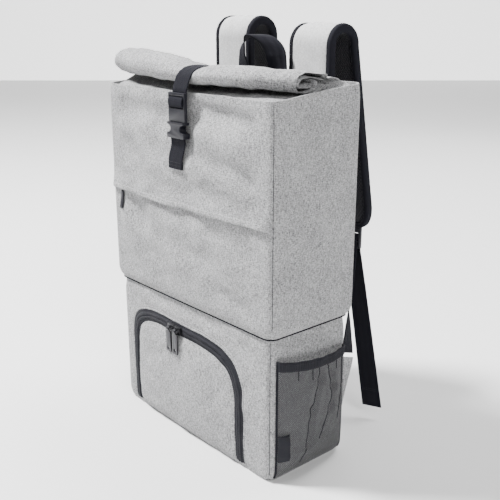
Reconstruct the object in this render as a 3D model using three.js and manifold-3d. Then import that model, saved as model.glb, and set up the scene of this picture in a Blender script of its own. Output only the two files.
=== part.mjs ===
// Cooler backpack: a roll-top bag over a padded cooler compartment.
// Millimetres, +Z up, the front faces -Y, the origin is the centre of the base.
import * as THREE from "three";
import { mergeVertices } from "three/addons/utils/BufferGeometryUtils.js";
import Module from "manifold-3d";

const wasm = await Module();
wasm.setup();
const { Manifold } = wasm;

// Main body
const upperWidth = 304;
const upperDepth = 130;
const lowerWidth = 290;
const lowerDepth = 122;
const lowerHeight = 174;
const rimHeight = 422;
const rimRise = 12;
const cornerRadius = 17;
const clothWall = 2;
const paddedWall = 5;
const fitGap = 0.3;

// Roll-top collar
const collarWall = 1;
const layerPitch = 1.6;
const turnGap = 1;
const foldRadius = 1.5;
const foldBehind = 8;
const foldStep = 3;
const outerHalfLayer = 3;
const collarSag = 9;
const collarTuck = 3;
const rollRest = 2;
const rollDepth = 48;
const rollHeight = 30;
const rollLeftEnd = 149;
const rollRightEnd = 139;
const gussetDepth = 62;

// Front pocket flap and its pull
const flapHeight = 26;
const flapDrop = 128;
const flapWall = 1.2;
const flapEndInset = 16;
const flapStandOff = 1.5;
const flapPullWidth = 7;
const flapPullLength = 24;
const flapPullThickness = 2;
const flapPullInset = 31;

// Cooler door and its zip
const doorCentre = -10;
const doorHalfWidth = 105;
const doorHeight = 138;
const doorSpring = 60;
const doorBottom = 6;
const doorRoundLeft = 5;
const doorRoundRight = 3.6;
const tapeWidth = 15;
const tapeThickness = 1.6;
const tapeSink = 1;
const coilWidth = 5.5;
const coilHeight = 1.3;

// Zip sliders and pulls
const sliderWidth = 9;
const sliderLength = 12;
const sliderThickness = 3;
const sliderCentre = -20;
const sliderSpacing = 13;
const bailRadius = 1.1;
const pullEyeWall = 1.2;
const pullWidth = 9.5;
const pullLength = 30;
const pullThickness = 1.8;
const pullShoulder = 1;

// Side pockets, elastic and label
const pocketTopFront = 148;
const pocketTopBack = 139;
const pocketBottom = 5;
const pocketPuff = 12;
const pocketWall = 1;
const pocketSeamInset = 4;
const pocketCornerShare = 0.7;
const pocketSwellRun = 0.2;
const pocketTopSwell = 0.8;
const elasticHeight = 11;
const elasticThickness = 1.4;
const labelWidth = 13;
const labelHeight = 33;
const labelBottom = 27;
const labelThickness = 0.8;

// Shoulder straps
const strapWidth = 66;
const strapBaseDrop = 14;
const strapRiseLeft = 74;
const strapRiseRight = 66;
const strapBend = 19;
const strapPadding = 9;
const strapFaceThickness = 3;
const bindingWidth = 6.5;
const bindingRise = 0.6;
const strapEndDrop = 166;
const strapEndBack = 62;
const strapTopOut = 67;
const strapEndOut = 86;
const strapEndWidth = 30;
const strapEndRound = 30;
const strapSettleRun = 0.125;
const strapEndSquare = 0.4;

// Webbing, ladder-locks, wing tabs and handle
const webbingWidth = 25;
const webbingThickness = 1.6;
const lockWidth = 32;
const lockHeight = 27;
const lockThickness = 4;
const lockBar = 5;
const lockSlot = 3.4;
const tabTop = 119;
const tabBottom = 48;
const tabReach = 26;
const tabDrop = 10;
const tabThickness = 3;
const tabSeamInset = 4;
const tabTurn = 100;
const tailEndOut = 123;
const tailEndBack = 74;
const tailEndHeight = 18;
const tailTurn = 24;
const handleSpan = 60;
const handleCentre = -2;
const handleRise = 58;
const handleInset = 7;
const handleArch = 0.8;
const handleTwist = 0.7;
const handleLegTwist = 0.85;

// Closure strap and buckle
const strapLine = 10;
const strapPress = 1.5;
const closureStart = 5;
const buckleStandOff = 10;
const buckleRise = 0;
const slideWidth = 29;
const slideHeight = 31;
const slideThickness = 4;
const slideBar = 7;
const slideSlot = 3.2;
const slideRim = 3;
const slideTail = 12;
const socketHeight = 17;
const socketThickness = 9;
const socketWaist = 27;
const socketLip = 31;
const notchDepth = 5.5;
const notchHeight = 9;
const notchUp = 0.6;
const lipRound = 1;
const anchorDrop = 82;
const anchorGrip = 6;
const anchorMouth = 1;
const anchorLean = 8;

// Heights that follow the rim
const flapBottom = rimHeight - flapDrop;
const strapBaseHeight = rimHeight - strapBaseDrop;
const strapEndHeight = rimHeight - strapEndDrop;
const handleTop = rimHeight + handleRise;
const buckleTop = rimHeight + buckleRise;
const anchorBottom = rimHeight - anchorDrop;

const grey = { color: 0xb4b3b6, roughness: 0.95, metalness: 0 };
const blackCloth = { color: 0x2e2d30, roughness: 0.9, metalness: 0 };
const meshCloth = { color: 0x5a595c, roughness: 0.95, metalness: 0 };
const blackPlastic = { color: 0x3a393c, roughness: 0.45, metalness: 0 };
const greyMetal = { color: 0x6a696c, roughness: 0.4, metalness: 0.8 };

const model = new THREE.Group();

function addPiece(name, geometry, look) {
  const piece = new THREE.Mesh(geometry, new THREE.MeshStandardMaterial(look));
  piece.name = name;
  model.add(piece);
  return piece;
}

const vec = (x, y, z) => new THREE.Vector3(x, y, z);
const mix = (from, to, share) => from + (to - from) * share;

// Value of a table column where another column reaches a given share, straight between rows.
function readTable(rows, key, column, share) {
  const last = rows.length - 1;
  if (share <= rows[0][key]) return rows[0][column];
  if (share >= rows[last][key]) return rows[last][column];
  const next = rows.findIndex((row) => row[key] >= share);
  const before = rows[next - 1];
  const after = rows[next];
  return mix(before[column], after[column], (share - before[key]) / (after[key] - before[key]));
}

// Volume that the triangles enclose, negative when they face inwards.
function signedVolume(positions, indices) {
  let volume = 0;
  for (let i = 0; i < indices.length; i += 3) {
    const [a, b, c] = [0, 1, 2].map((k) => positions[indices[i + k]]);
    volume += a.dot(b.clone().cross(c)) / 6;
  }
  return volume;
}

// Geometry from points and triangles, turned to face outwards.
function indexed(positions, indices) {
  if (signedVolume(positions, indices) < 0) indices.reverse();
  const geometry = new THREE.BufferGeometry();
  const numbers = positions.flatMap((point) => point.toArray());
  geometry.setAttribute("position", new THREE.Float32BufferAttribute(numbers, 3));
  geometry.setIndex(indices);
  geometry.computeVertexNormals();
  return geometry;
}

// The two triangles of a quad, cut from its first corner or from its second. Facing sides of thin
// cloth are cut alike, so that they keep apart where the cloth twists.
function quadFaces([a, b, c, d], fromSecond) {
  return fromSecond ? [a, b, d, b, c, d] : [a, b, c, a, c, d];
}

// Closed solid through rings of equal count. Its end faces are fans, or strips from side to side.
function loft(rings, stripCaps = false) {
  const count = rings[0].length;
  const positions = rings.flat();
  const indices = [];
  for (let r = 0; r + 1 < rings.length; r += 1) {
    for (let i = 0; i < count; i += 1) {
      const j = (i + 1) % count;
      const corners = [r * count + i, r * count + j, (r + 1) * count + j, (r + 1) * count + i];
      indices.push(...quadFaces(corners, i >= count / 2));
    }
  }
  const fanCap = (start, turned) => {
    for (let i = 1; i + 1 < count; i += 1) {
      const next = start + i + 1;
      indices.push(start, turned ? start + i : next, turned ? next : start + i);
    }
  };
  const stripCap = (start, turned) => {
    for (let i = 0; i + 1 < count / 2; i += 1) {
      const corners = [i, i + 1, count - 2 - i, count - 1 - i].map((k) => start + k);
      indices.push(...quadFaces(turned ? corners : corners.reverse(), false));
    }
  };
  const cap = stripCaps ? stripCap : fanCap;
  cap(0, false);
  cap((rings.length - 1) * count, true);
  return indexed(positions, indices);
}

// Tube wall: its outer rings, then its inner rings back to the first. Every layer of the folded
// cloth is cut along the same diagonal, from low x at one ring to high x at the next.
function closedLoft(rings) {
  const count = rings[0].length;
  const positions = rings.flat();
  const indices = [];
  rings.forEach((ring, r) => {
    const next = (r + 1) % rings.length;
    const isInner = r >= rings.length / 2;
    for (let i = 0; i < count; i += 1) {
      const j = (i + 1) % count;
      const corners = [r * count + i, r * count + j, next * count + j, next * count + i];
      indices.push(...quadFaces(corners, ring[i].x < ring[j].x === isInner));
    }
  });
  return indexed(positions, indices);
}

// Thin solid between two point grids of the same rows and columns.
function sheet(outerRows, innerRows) {
  return loft(outerRows.map((row, index) => [...row, ...innerRows[index].slice().reverse()]), true);
}

function toManifold(geometry) {
  const bare = geometry.clone();
  bare.deleteAttribute("normal");
  bare.deleteAttribute("uv");
  const merged = mergeVertices(bare);
  return new Manifold(new wasm.Mesh({
    numProp: 3,
    vertProperties: new Float32Array(merged.attributes.position.array),
    triVerts: new Uint32Array(merged.index.array),
  }));
}

function fromManifold(solid) {
  const mesh = solid.getMesh();
  const geometry = new THREE.BufferGeometry();
  geometry.setAttribute("position", new THREE.Float32BufferAttribute(mesh.vertProperties, 3));
  geometry.setIndex(Array.from(mesh.triVerts));
  geometry.computeVertexNormals();
  return geometry;
}

function boxSolid(width, depth, height, x, y, z) {
  return toManifold(new THREE.BoxGeometry(width, depth, height).translate(x, y, z));
}

// Body panels: each level of a body is a rounded rectangle whose four faces puff out and dent in.
// width, depth: shares of the body's own; front, side, back: puff as a share of its depth.
const upperLevels = [
  { level: 0, width: 0.95, depth: 0.935, front: 0, side: 0, back: 0 },
  { level: 0.012, width: 0.98, depth: 0.975, front: 0, side: 0, back: 0 },
  { level: 0.045, width: 1, depth: 1, front: 0.012, side: 0.004, back: 0 },
  { level: 0.16, width: 1, depth: 1, front: 0.04, side: 0.012, back: 0 },
  { level: 0.32, width: 1, depth: 1, front: 0.05, side: 0.016, back: 0 },
  { level: 0.46, width: 1, depth: 1, front: 0.05, side: 0.016, back: 0 },
  { level: 0.58, width: 1, depth: 1, front: 0.05, side: 0.012, back: 0 },
  { level: 0.7, width: 1, depth: 1, front: 0.055, side: 0.008, back: 0 },
  { level: 0.81, width: 1, depth: 1, front: 0.04, side: 0.004, back: 0 },
  { level: 0.9, width: 1, depth: 1, front: 0.02, side: -0.012, back: 0 },
  { level: 0.965, width: 0.997, depth: 1, front: 0.008, side: -0.02, back: 0 },
  { level: 1, width: 0.99, depth: 0.985, front: 0, side: -0.02, back: 0 },
];
const lowerLevels = [
  { level: 0, width: 0.965, depth: 0.945, front: 0, side: 0, back: 0 },
  { level: 0.02, width: 0.985, depth: 0.97, front: 0.005, side: 0, back: 0 },
  { level: 0.07, width: 1, depth: 0.995, front: 0.02, side: 0.004, back: 0 },
  { level: 0.28, width: 1, depth: 1, front: 0.045, side: 0.012, back: 0 },
  { level: 0.5, width: 1, depth: 1, front: 0.05, side: 0.016, back: 0 },
  { level: 0.72, width: 1, depth: 1, front: 0.04, side: 0.012, back: 0 },
  { level: 0.9, width: 1, depth: 1, front: 0.015, side: 0.004, back: 0 },
  { level: 1, width: 0.985, depth: 0.98, front: 0, side: 0, back: 0 },
];

// Soft dents and swells. along and wide: shares of the half panel; level and tall: of the body's
// height; depth: share of its depth, positive outwards.
const upperDents = [
  { panel: "front", along: 0.45, wide: 0.7, level: 0.89, tall: 0.07, depth: -0.035 },
  { panel: "front", along: -0.75, wide: 0.3, level: 0.83, tall: 0.07, depth: -0.03 },
  { panel: "front", along: -0.35, wide: 0.4, level: 0.66, tall: 0.08, depth: 0.02 },
  { panel: "front", along: 0.55, wide: 0.4, level: 0.74, tall: 0.09, depth: 0.025 },
  { panel: "front", along: -0.55, wide: 0.35, level: 0.4, tall: 0.06, depth: -0.02 },
  { panel: "front", along: 0.7, wide: 0.25, level: 0.12, tall: 0.08, depth: -0.02 },
  { panel: "side", along: -0.2, wide: 0.6, level: 0.8, tall: 0.09, depth: -0.025 },
  { panel: "side", along: 0.3, wide: 0.5, level: 0.35, tall: 0.15, depth: 0.012 },
];
const lowerDents = [
  { panel: "front", along: -0.1, wide: 0.45, level: 0.3, tall: 0.25, depth: 0.02 },
  { panel: "front", along: 0.86, wide: 0.12, level: 0.55, tall: 0.3, depth: 0.015 },
  { panel: "front", along: -0.9, wide: 0.12, level: 0.45, tall: 0.3, depth: -0.015 },
];

const upperBase = lowerHeight + fitGap;
const upperBody = {
  width: upperWidth,
  depth: upperDepth,
  base: upperBase,
  height: rimHeight - upperBase,
  rise: rimRise,
  radius: cornerRadius,
  levels: upperLevels,
  dents: upperDents,
};
const lowerBody = {
  width: lowerWidth,
  depth: lowerDepth,
  base: 0,
  height: lowerHeight,
  rise: 0,
  radius: cornerRadius,
  levels: lowerLevels,
  dents: lowerDents,
};

const frontSteps = 8;
const sideSteps = 4;
const cornerSteps = 3;

// Rounded rectangle, anticlockwise from the left end of the front, with the way out at each point.
function roundedRing(halfWidth, halfDepth, radius) {
  const straightX = halfWidth - radius;
  const straightY = halfDepth - radius;
  const sides = [
    { panel: "front", out: [0, -1], go: [1, 0], half: straightX, off: halfDepth, steps: frontSteps },
    { panel: "side", out: [1, 0], go: [0, 1], half: straightY, off: halfWidth, steps: sideSteps },
    { panel: "back", out: [0, 1], go: [-1, 0], half: straightX, off: halfDepth, steps: frontSteps },
    { panel: "side", out: [-1, 0], go: [0, -1], half: straightY, off: halfWidth, steps: sideSteps },
  ];
  return sides.flatMap(({ panel, out, go, half, off, steps }) => {
    const straight = Array.from({ length: steps + 1 }, (_, i) => {
      const along = mix(-1, 1, i / steps);
      const x = out[0] * off + go[0] * half * along;
      const y = out[1] * off + go[1] * half * along;
      return { x, y, outX: out[0], outY: out[1], panel, along: panel === "side" ? along * go[1] : along };
    });
    const corner = Array.from({ length: cornerSteps - 1 }, (_, i) => {
      const turn = ((i + 1) / cornerSteps) * (Math.PI / 2);
      const outX = out[0] * Math.cos(turn) + go[0] * Math.sin(turn);
      const outY = out[1] * Math.cos(turn) + go[1] * Math.sin(turn);
      const x = Math.sign(out[0] + go[0]) * straightX + outX * radius;
      const y = Math.sign(out[1] + go[1]) * straightY + outY * radius;
      return { x, y, outX, outY, panel: "corner", along: 1 };
    });
    return [...straight, ...corner];
  });
}

function dentAt(body, panel, along, level) {
  return body.dents
    .filter((dent) => dent.panel === panel)
    .reduce((sum, dent) => {
      const across = (along - dent.along) / dent.wide;
      const up = (level - dent.level) / dent.tall;
      return sum + dent.depth * body.depth * Math.exp(-across * across - up * up);
    }, 0);
}

// One level of a body, its outline set in by the inset all round, under closed ends or one.
function bodyRing(body, row, inset, closedEnds = 2) {
  const halfWidth = (body.width * row.width) / 2 - inset;
  const halfDepth = (body.depth * row.depth) / 2 - inset;
  const height = body.height - closedEnds * inset;
  return roundedRing(halfWidth, halfDepth, body.radius - inset).map((point) => {
    const flatness = 1 - point.along * point.along;
    const puff = point.panel === "corner" ? 0 : body.depth * row[point.panel] * flatness;
    const dent = flatness * dentAt(body, point.panel, point.along, row.level);
    const x = point.x + point.outX * (puff + dent);
    const y = point.y + point.outY * (puff + dent);
    const lift = body.rise * row.level * (point.y / body.depth + 0.5);
    return vec(x, y, body.base + inset + row.level * height + lift);
  });
}

function bodyLoft(body, inset) {
  return loft(body.levels.map((row) => bodyRing(body, row, inset)));
}

// Point of a panel's outer face: spread is x on the front and y on a side.
function panelAt(body, panel, spread, z) {
  const level = (z - body.base) / body.height;
  const after = Math.max(1, body.levels.findIndex((row) => row.level >= level));
  const rows = [body.levels[after - 1], body.levels[after]];
  const first = panel === "front" ? 0 : frontSteps + cornerSteps;
  const steps = panel === "front" ? frontSteps : sideSteps;
  const [spreadKey, outKey] = panel === "front" ? ["x", "y"] : ["y", "x"];
  const outs = rows.map((row) => {
    const points = bodyRing(body, row, 0).slice(first, first + steps + 1);
    const samples = points.map((point) => ({ spread: point[spreadKey], out: point[outKey] }));
    return readTable(samples, "spread", "out", spread);
  });
  return mix(outs[0], outs[1], (level - rows[0].level) / (rows[1].level - rows[0].level));
}

const frontY = (body, x, z) => panelAt(body, "front", x, z);
const sideX = (body, y, z) => panelAt(body, "side", y, z);

// Main compartment: a cloth shell with a floor, open at the rim.
function makeUpperBody() {
  const outside = upperLevels.map((row) => bodyRing(upperBody, row, 0));
  const inside = upperLevels.map((row) => bodyRing(upperBody, row, clothWall, 1));
  addPiece("upper_body", loft([...outside, ...inside.reverse()]), grey);
}

// Roll of the closed collar at places along its length. setBack: behind the front, share of the
// body's depth; lift and tall: share of the roll's height; deep: share of its depth.
const rollRows = [
  { along: -1, setBack: 0.07, lift: 0.27, tall: 1.06, deep: 0.95 },
  { along: -0.6, setBack: 0, lift: 0.2, tall: 1.08, deep: 1 },
  { along: -0.25, setBack: -0.01, lift: 0.17, tall: 0.98, deep: 1 },
  { along: 0.06, setBack: -0.012, lift: 0.17, tall: 0.7, deep: 1 },
  { along: 0.35, setBack: 0, lift: 0.15, tall: 0.8, deep: 1 },
  { along: 0.65, setBack: 0.06, lift: 0.12, tall: 0.8, deep: 0.96 },
  { along: 1, setBack: 0.3, lift: 0, tall: 0.8, deep: 0.84 },
];
const rollArrival = 0.35;
const rollStart = 60;
const rollEnd = 420;
const rollStep = 30;

// Columns of the collar from the middle to one end. rim: share of the front's straight half;
// inward: share of the gusset's depth in from the end; layer: half layers off the folded middle.
const layerColumns = [
  { rim: 0.32, inward: 1.55, layer: 1.4 },
  { rim: 0.6, inward: 1, layer: 2.4 },
  { rim: 0.8, inward: 0.5, layer: 3 },
  { rim: 1, inward: 0, layer: 3 },
];

// Gusset columns around one end, front to back. turn: share of the side's half at the rim;
// half and flat: the way its outer face looks half closed and folded flat; sag: share of the sag.
const gussetColumns = [
  { turn: -1.25, inward: 0, layer: -2, half: "side", flat: "side", sag: 0 },
  { turn: -1, inward: 0.5, layer: -1, half: "down", flat: "down", sag: 0.1 },
  { turn: -0.85, inward: 0.96, layer: -1, half: "slant", flat: "down", sag: 0.6 },
  { turn: 0, inward: 1, layer: 0, half: "up", flat: "side", sag: 1 },
  { turn: 0.85, inward: 0.96, layer: 1, half: "slant", flat: "down", sag: 0.6 },
  { turn: 1, inward: 0.5, layer: 1, half: "down", flat: "down", sag: 0.1 },
  { turn: 1.25, inward: 0, layer: 2, half: "side", flat: "side", sag: 0 },
];

const pressedHalf = webbingWidth / 2 + strapPress;

// Rolled cross-section at a place x: its centre and radii, level under the closure strap.
function rollAt(x) {
  const place = Math.abs(x - strapLine) <= pressedHalf ? strapLine : x;
  const along = place < 0 ? place / rollLeftEnd : place / rollRightEnd;
  const read = (column) => readTable(rollRows, "along", column, along);
  const radiusY = (rollDepth * read("deep")) / 2;
  const radiusZ = (rollHeight * read("tall")) / 2;
  const y = upperDepth * (read("setBack") - 0.5) + radiusY;
  const z = rimHeight + rollHeight * read("lift") + radiusZ;
  return { y, z, radiusY, radiusZ };
}

// Where the collar's cloth stands in the rim, just inside the wall of the main compartment.
const rimRow = upperLevels[upperLevels.length - 1];
const rimInset = clothWall + fitGap + collarWall / 2;
const rimStraightX = (upperWidth * rimRow.width) / 2 - cornerRadius;
const rimStraightY = (upperDepth * rimRow.depth) / 2 - cornerRadius;
const tipRadius = (cornerRadius - clothWall) * Math.cos(Math.PI / 4 / cornerSteps) - fitGap - collarWall / 2;

function rimOnFace(face, x) {
  const outside = face < 0 ? frontY(upperBody, x, rimHeight) : (upperDepth * rimRow.depth) / 2;
  return [x, outside - face * rimInset];
}

function rimOnSide(side, turn) {
  const y = turn * rimStraightY;
  return [side * (sideX(upperBody, y, rimHeight) - rimInset), y];
}

function rimAtCorner(side, face) {
  const reach = tipRadius * Math.SQRT1_2;
  return [side * (rimStraightX + reach), face * (rimStraightY + reach)];
}

// The cloth's columns all round the collar, anticlockwise from the left end of the front.
function collarColumns() {
  const endOf = (side) => (side < 0 ? rollLeftEnd : rollRightEnd);
  const plain = { half: "up", flat: "up", sag: 0 };
  const layer = (side, face, row) => ({
    ...plain,
    side,
    rimAt: rimOnFace(face, side * row.rim * rimStraightX),
    out: [0, face, 0],
    roll: side * (endOf(side) - row.inward * gussetDepth),
    layer: face * row.layer,
  });
  const middle = (side, face) => {
    const x = strapLine + side * pressedHalf;
    return { ...plain, side, rimAt: rimOnFace(face, x), out: [0, face, 0], roll: x, layer: face };
  };
  const gusset = (side, row) => {
    const atCorner = Math.abs(row.turn) > 1;
    const face = Math.sign(row.turn);
    const tip = row.inward === 0 ? layerPitch / 2 : 0;
    return {
      ...row,
      side,
      rimAt: atCorner ? rimAtCorner(side, face) : rimOnSide(side, row.turn),
      out: atCorner ? [side * Math.SQRT1_2, face * Math.SQRT1_2, 0] : [side * Math.SQRT1_2, 0, Math.SQRT1_2],
      roll: side * (endOf(side) - row.inward * gussetDepth + tip),
    };
  };
  const inwards = layerColumns.slice().reverse();
  return [
    ...inwards.map((row) => layer(-1, -1, row)),
    middle(-1, -1),
    middle(1, -1),
    ...layerColumns.map((row) => layer(1, -1, row)),
    ...gussetColumns.map((row) => gusset(1, row)),
    ...inwards.map((row) => layer(1, 1, row)),
    middle(1, 1),
    middle(-1, 1),
    ...layerColumns.map((row) => layer(-1, 1, row)),
    ...gussetColumns.slice().reverse().map((row) => gusset(-1, row)),
  ];
}

// Half layers between the folded cloth's middle and its face at a place x.
function layersAt(x) {
  const end = x < 0 ? rollLeftEnd : rollRightEnd;
  const inward = (end - Math.abs(x)) / gussetDepth;
  const rows = [...layerColumns].reverse();
  return inward > rows[rows.length - 1].inward ? 1 : readTable(rows, "inward", "layer", Math.max(0, inward));
}

// Middle of the cloth and its way out at one column where it leaves the rim.
function rimPoint(column) {
  const [x, y] = column.rimAt;
  const lift = rimRise * (y / upperDepth + 0.5);
  const at = vec(x, y, rimHeight + lift - collarTuck);
  return { at, out: vec(...column.out) };
}

// The same where front and back meet and turn: the front layers swing round a pivot behind the
// roll while the back layers run on over it. swing is 90 before the turn and 270 after it.
function foldPoint(column, swing) {
  const roll = rollAt(column.roll);
  const pivotY = roll.y + roll.radiusY + foldBehind;
  const sheetZ = roll.z + rollArrival * roll.radiusZ;
  const reach = foldRadius + ((column.layer + outerHalfLayer) * layerPitch) / 2;
  const pivotZ = sheetZ - foldRadius - (outerHalfLayer * layerPitch) / 2;
  const angle = THREE.MathUtils.degToRad(swing);
  const turned = column.layer <= 0;
  const out = turned ? vec(0, Math.cos(angle), Math.sin(angle)) : vec(0, 0, -1);
  const wait = ((270 - swing) / 90) * foldStep;
  const at = turned ? vec(column.roll, pivotY, pivotZ).addScaledVector(out, -reach)
    : vec(column.roll, pivotY + wait, pivotZ + reach);
  const ways = { side: vec(column.side, 0, 0), down: out.clone().negate(), up: out.clone() };
  if (!turned) Object.assign(ways, { up: vec(0, 0, 1), down: vec(0, 0, -1) });
  return { at, out: ways[column.flat] };
}

// Half way between the rim and the turn: the front lies under the roll, the gussets fold in.
function halfPoint(column) {
  const from = rimPoint(column).at;
  const to = foldPoint(column, 90).at;
  const at = from.clone().lerp(to, 0.5);
  const roll = rollAt(column.roll);
  const isFront = column.layer < 0 && column.flat === "up";
  if (isFront) at.y = roll.y;
  if (column.layer < 0) at.z = Math.min(at.z, roll.z - roll.radiusZ - rollRest);
  at.z -= collarSag * column.sag;
  const slant = vec(column.side, 0, 1).normalize();
  const ways = { side: vec(column.side, 0, 0), down: vec(0, 0, -1), up: vec(0, 0, 1), slant };
  return { at, out: ways[column.half] };
}

// Along the spiral: the sheet's middle shrinks inwards by its own thickness each turn.
function spiralPoint(column, degrees) {
  const roll = rollAt(column.roll);
  const halfThickness = (layersAt(column.roll) * layerPitch) / 2 + collarWall / 2;
  const turns = (degrees - rollStart) / 360;
  const shrink = halfThickness + turns * (2 * halfThickness + turnGap);
  const angle = THREE.MathUtils.degToRad(degrees);
  const radiusY = roll.radiusY - shrink;
  const radiusZ = roll.radiusZ - shrink;
  const normal = vec(0, Math.cos(angle) / radiusY, Math.sin(angle) / radiusZ).normalize();
  const at = vec(column.roll, roll.y + radiusY * Math.cos(angle), roll.z + radiusZ * Math.sin(angle));
  at.addScaledVector(normal, (column.layer * layerPitch) / 2);
  const facing = column.layer < 0 ? -1 : 1;
  const ways = {
    side: vec(column.side, 0, 0),
    up: normal.clone().multiplyScalar(facing),
    down: normal.clone().multiplyScalar(-facing),
  };
  return { at, out: ways[column.flat] };
}

const spiralCount = (rollEnd - rollStart) / rollStep + 1;
const spiralDegrees = Array.from({ length: spiralCount }, (_, i) => rollStart + i * rollStep);

// The collar: one tube of cloth from the rim to the rolled-up hem.
function makeCollar() {
  const columns = collarColumns();
  const stages = [
    columns.map(rimPoint),
    columns.map(halfPoint),
    ...[90, 180, 270].map((swing) => columns.map((column) => foldPoint(column, swing))),
    ...spiralDegrees.map((degrees) => columns.map((column) => spiralPoint(column, degrees))),
  ];
  const face = (stage, side) => stage.map(
    ({ at, out }) => at.clone().addScaledVector(out, (side * collarWall) / 2),
  );
  const outside = stages.map((stage) => face(stage, 1));
  const inside = stages.map((stage) => face(stage, -1)).reverse();
  addPiece("roll_collar", closedLoft([...outside, ...inside]), grey);
}

// Cloth flap over the front pocket, held along its top and standing off at its lower edge.
function makePocketFlap() {
  const half = upperWidth / 2 - flapEndInset;
  const columns = Array.from({ length: frontSteps + 1 }, (_, i) => mix(-half, half, i / frontSteps));
  const rows = [1, 0.5, 0].map((up) => {
    return { z: flapBottom + flapHeight * up, off: fitGap + flapStandOff * (1 - up) };
  });
  const face = (extra) => rows.map(({ z, off }) => {
    return columns.map((x) => vec(x, frontY(upperBody, x, z) - off - extra, z));
  });
  addPiece("pocket_flap", sheet(face(flapWall), face(0)), grey);

  const pullX = -upperWidth / 2 + flapPullInset;
  const pullZ = flapBottom - fitGap - flapPullLength / 2;
  const pullBack = frontY(upperBody, pullX, flapBottom - flapPullLength / 2) - 2 * fitGap;
  const pullY = pullBack - flapPullThickness / 2;
  const pull = new THREE.BoxGeometry(flapPullWidth, flapPullThickness, flapPullLength);
  addPiece("pocket_zip_pull", pull, blackCloth).position.set(pullX, pullY, pullZ);
}

// Arch of the cooler door: upright legs, then two rounded quarters of unlike roundness.
function archShape(grow, bottom) {
  const points = [];
  const steps = 14;
  const halfWidth = doorHalfWidth + grow;
  const crown = doorHeight - doorSpring + grow;
  for (let i = 0; i <= 2 * steps; i += 1) {
    const angle = (Math.PI * i) / (2 * steps);
    const power = 2 / (Math.cos(angle) < 0 ? doorRoundLeft : doorRoundRight);
    const x = Math.sign(Math.cos(angle)) * Math.abs(Math.cos(angle)) ** power;
    const y = Math.abs(Math.sin(angle)) ** power;
    points.push(new THREE.Vector2(doorCentre + halfWidth * x, doorSpring + crown * y));
  }
  const right = doorCentre + halfWidth;
  const left = doorCentre - halfWidth;
  return [new THREE.Vector2(right, bottom), ...points, new THREE.Vector2(left, bottom)];
}

// The arch as a block that runs through the front wall.
function archBlock(grow, bottom) {
  const shape = new THREE.Shape(archShape(grow, bottom));
  const block = new THREE.ExtrudeGeometry(shape, { depth: lowerDepth / 2, bevelEnabled: false });
  block.rotateX(Math.PI / 2);
  return toManifold(block.translate(0, -lowerDepth / 4, 0));
}

// Cooler compartment: padded box with an arched opening, the door that fills it and the zip.
function makeCooler() {
  const skin = (inset) => toManifold(bodyLoft(lowerBody, inset));
  const walls = skin(0).subtract(skin(paddedWall));
  const tapeOutside = tapeWidth / 2;
  const tapeInside = -tapeWidth / 2;
  const opening = archBlock(tapeOutside, doorBottom);
  addPiece("lower_body", fromManifold(walls.subtract(opening)), grey);

  const doorBlock = archBlock(tapeInside, doorBottom + fitGap);
  addPiece("cooler_door", fromManifold(walls.intersect(doorBlock)), grey);

  const band = (outer, inner, top, bottom) => {
    const ring = archBlock(outer, doorBottom + fitGap).subtract(archBlock(inner, -doorBottom));
    return skin(top).subtract(skin(bottom)).intersect(ring);
  };
  const tape = band(tapeOutside - fitGap, tapeInside + fitGap, tapeSink, tapeSink + tapeThickness);
  const coil = band(coilWidth / 2, -coilWidth / 2, tapeSink - coilHeight, tapeSink + tapeThickness / 2);
  addPiece("door_zipper", fromManifold(tape.add(coil)), blackCloth);
}

// A slider on the coil with a bail, and the pull that hangs from the bail.
function makeZipSlider(name, offset) {
  const z = doorHeight;
  const x = sliderCentre + offset * sliderSpacing / 2;
  const coilFace = frontY(lowerBody, x, z) - (coilHeight - tapeSink);
  const bodyY = coilFace - fitGap - sliderThickness / 2;
  const body = boxSolid(sliderLength, sliderThickness, sliderWidth, x, bodyY, z);
  const bailGap = bailRadius + 2 * fitGap + pullEyeWall;
  const bailY = bodyY - sliderThickness / 2 - bailGap;
  const post = (side) => boxSolid(
    bailRadius * 2, bailGap + bailRadius * 2, bailRadius * 2,
    x + side * (pullWidth / 2 - bailRadius), bodyY - sliderThickness / 2 - bailGap / 2, z,
  );
  const bar = toManifold(new THREE.CylinderGeometry(bailRadius, bailRadius, pullWidth, 10)
    .rotateZ(Math.PI / 2).translate(x, bailY, z));
  addPiece(`door_slider_${name}`, fromManifold(body.add(post(-1)).add(post(1)).add(bar)), greyMetal);

  const eye = bailRadius + fitGap;
  const tongue = pullWidth - 4 * bailRadius - 2 * fitGap;
  const rim = eye + pullEyeWall;
  const ring = new THREE.CylinderGeometry(rim, rim, tongue, 16).rotateZ(Math.PI / 2);
  const hole = new THREE.CylinderGeometry(eye, eye, tongue * 2, 12).rotateZ(Math.PI / 2);
  const bladeTop = rim + pullShoulder;
  const blade = boxSolid(pullWidth, pullThickness, pullLength - bladeTop, 0, 0, -(pullLength + bladeTop) / 2);
  const neckLength = bladeTop + pullShoulder;
  const neck = boxSolid(tongue, pullThickness, neckLength, 0, 0, -neckLength / 2);
  const keyhole = new THREE.CylinderGeometry(pullWidth / 4, pullWidth / 4, pullThickness * 2, 12);
  const hanging = toManifold(ring).add(blade).add(neck).subtract(toManifold(hole))
    .subtract(toManifold(keyhole.translate(0, 0, -pullLength + pullWidth / 2)));
  addPiece(`door_pull_${name}`, fromManifold(hanging), greyMetal).position.set(x, bailY, z);
}

// Side pocket: bulged mesh from seam to seam, open at the top, with its elastic and the label.
const pocketHalf = lowerDepth / 2 - pocketSeamInset - cornerRadius * (1 - pocketCornerShare);

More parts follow.
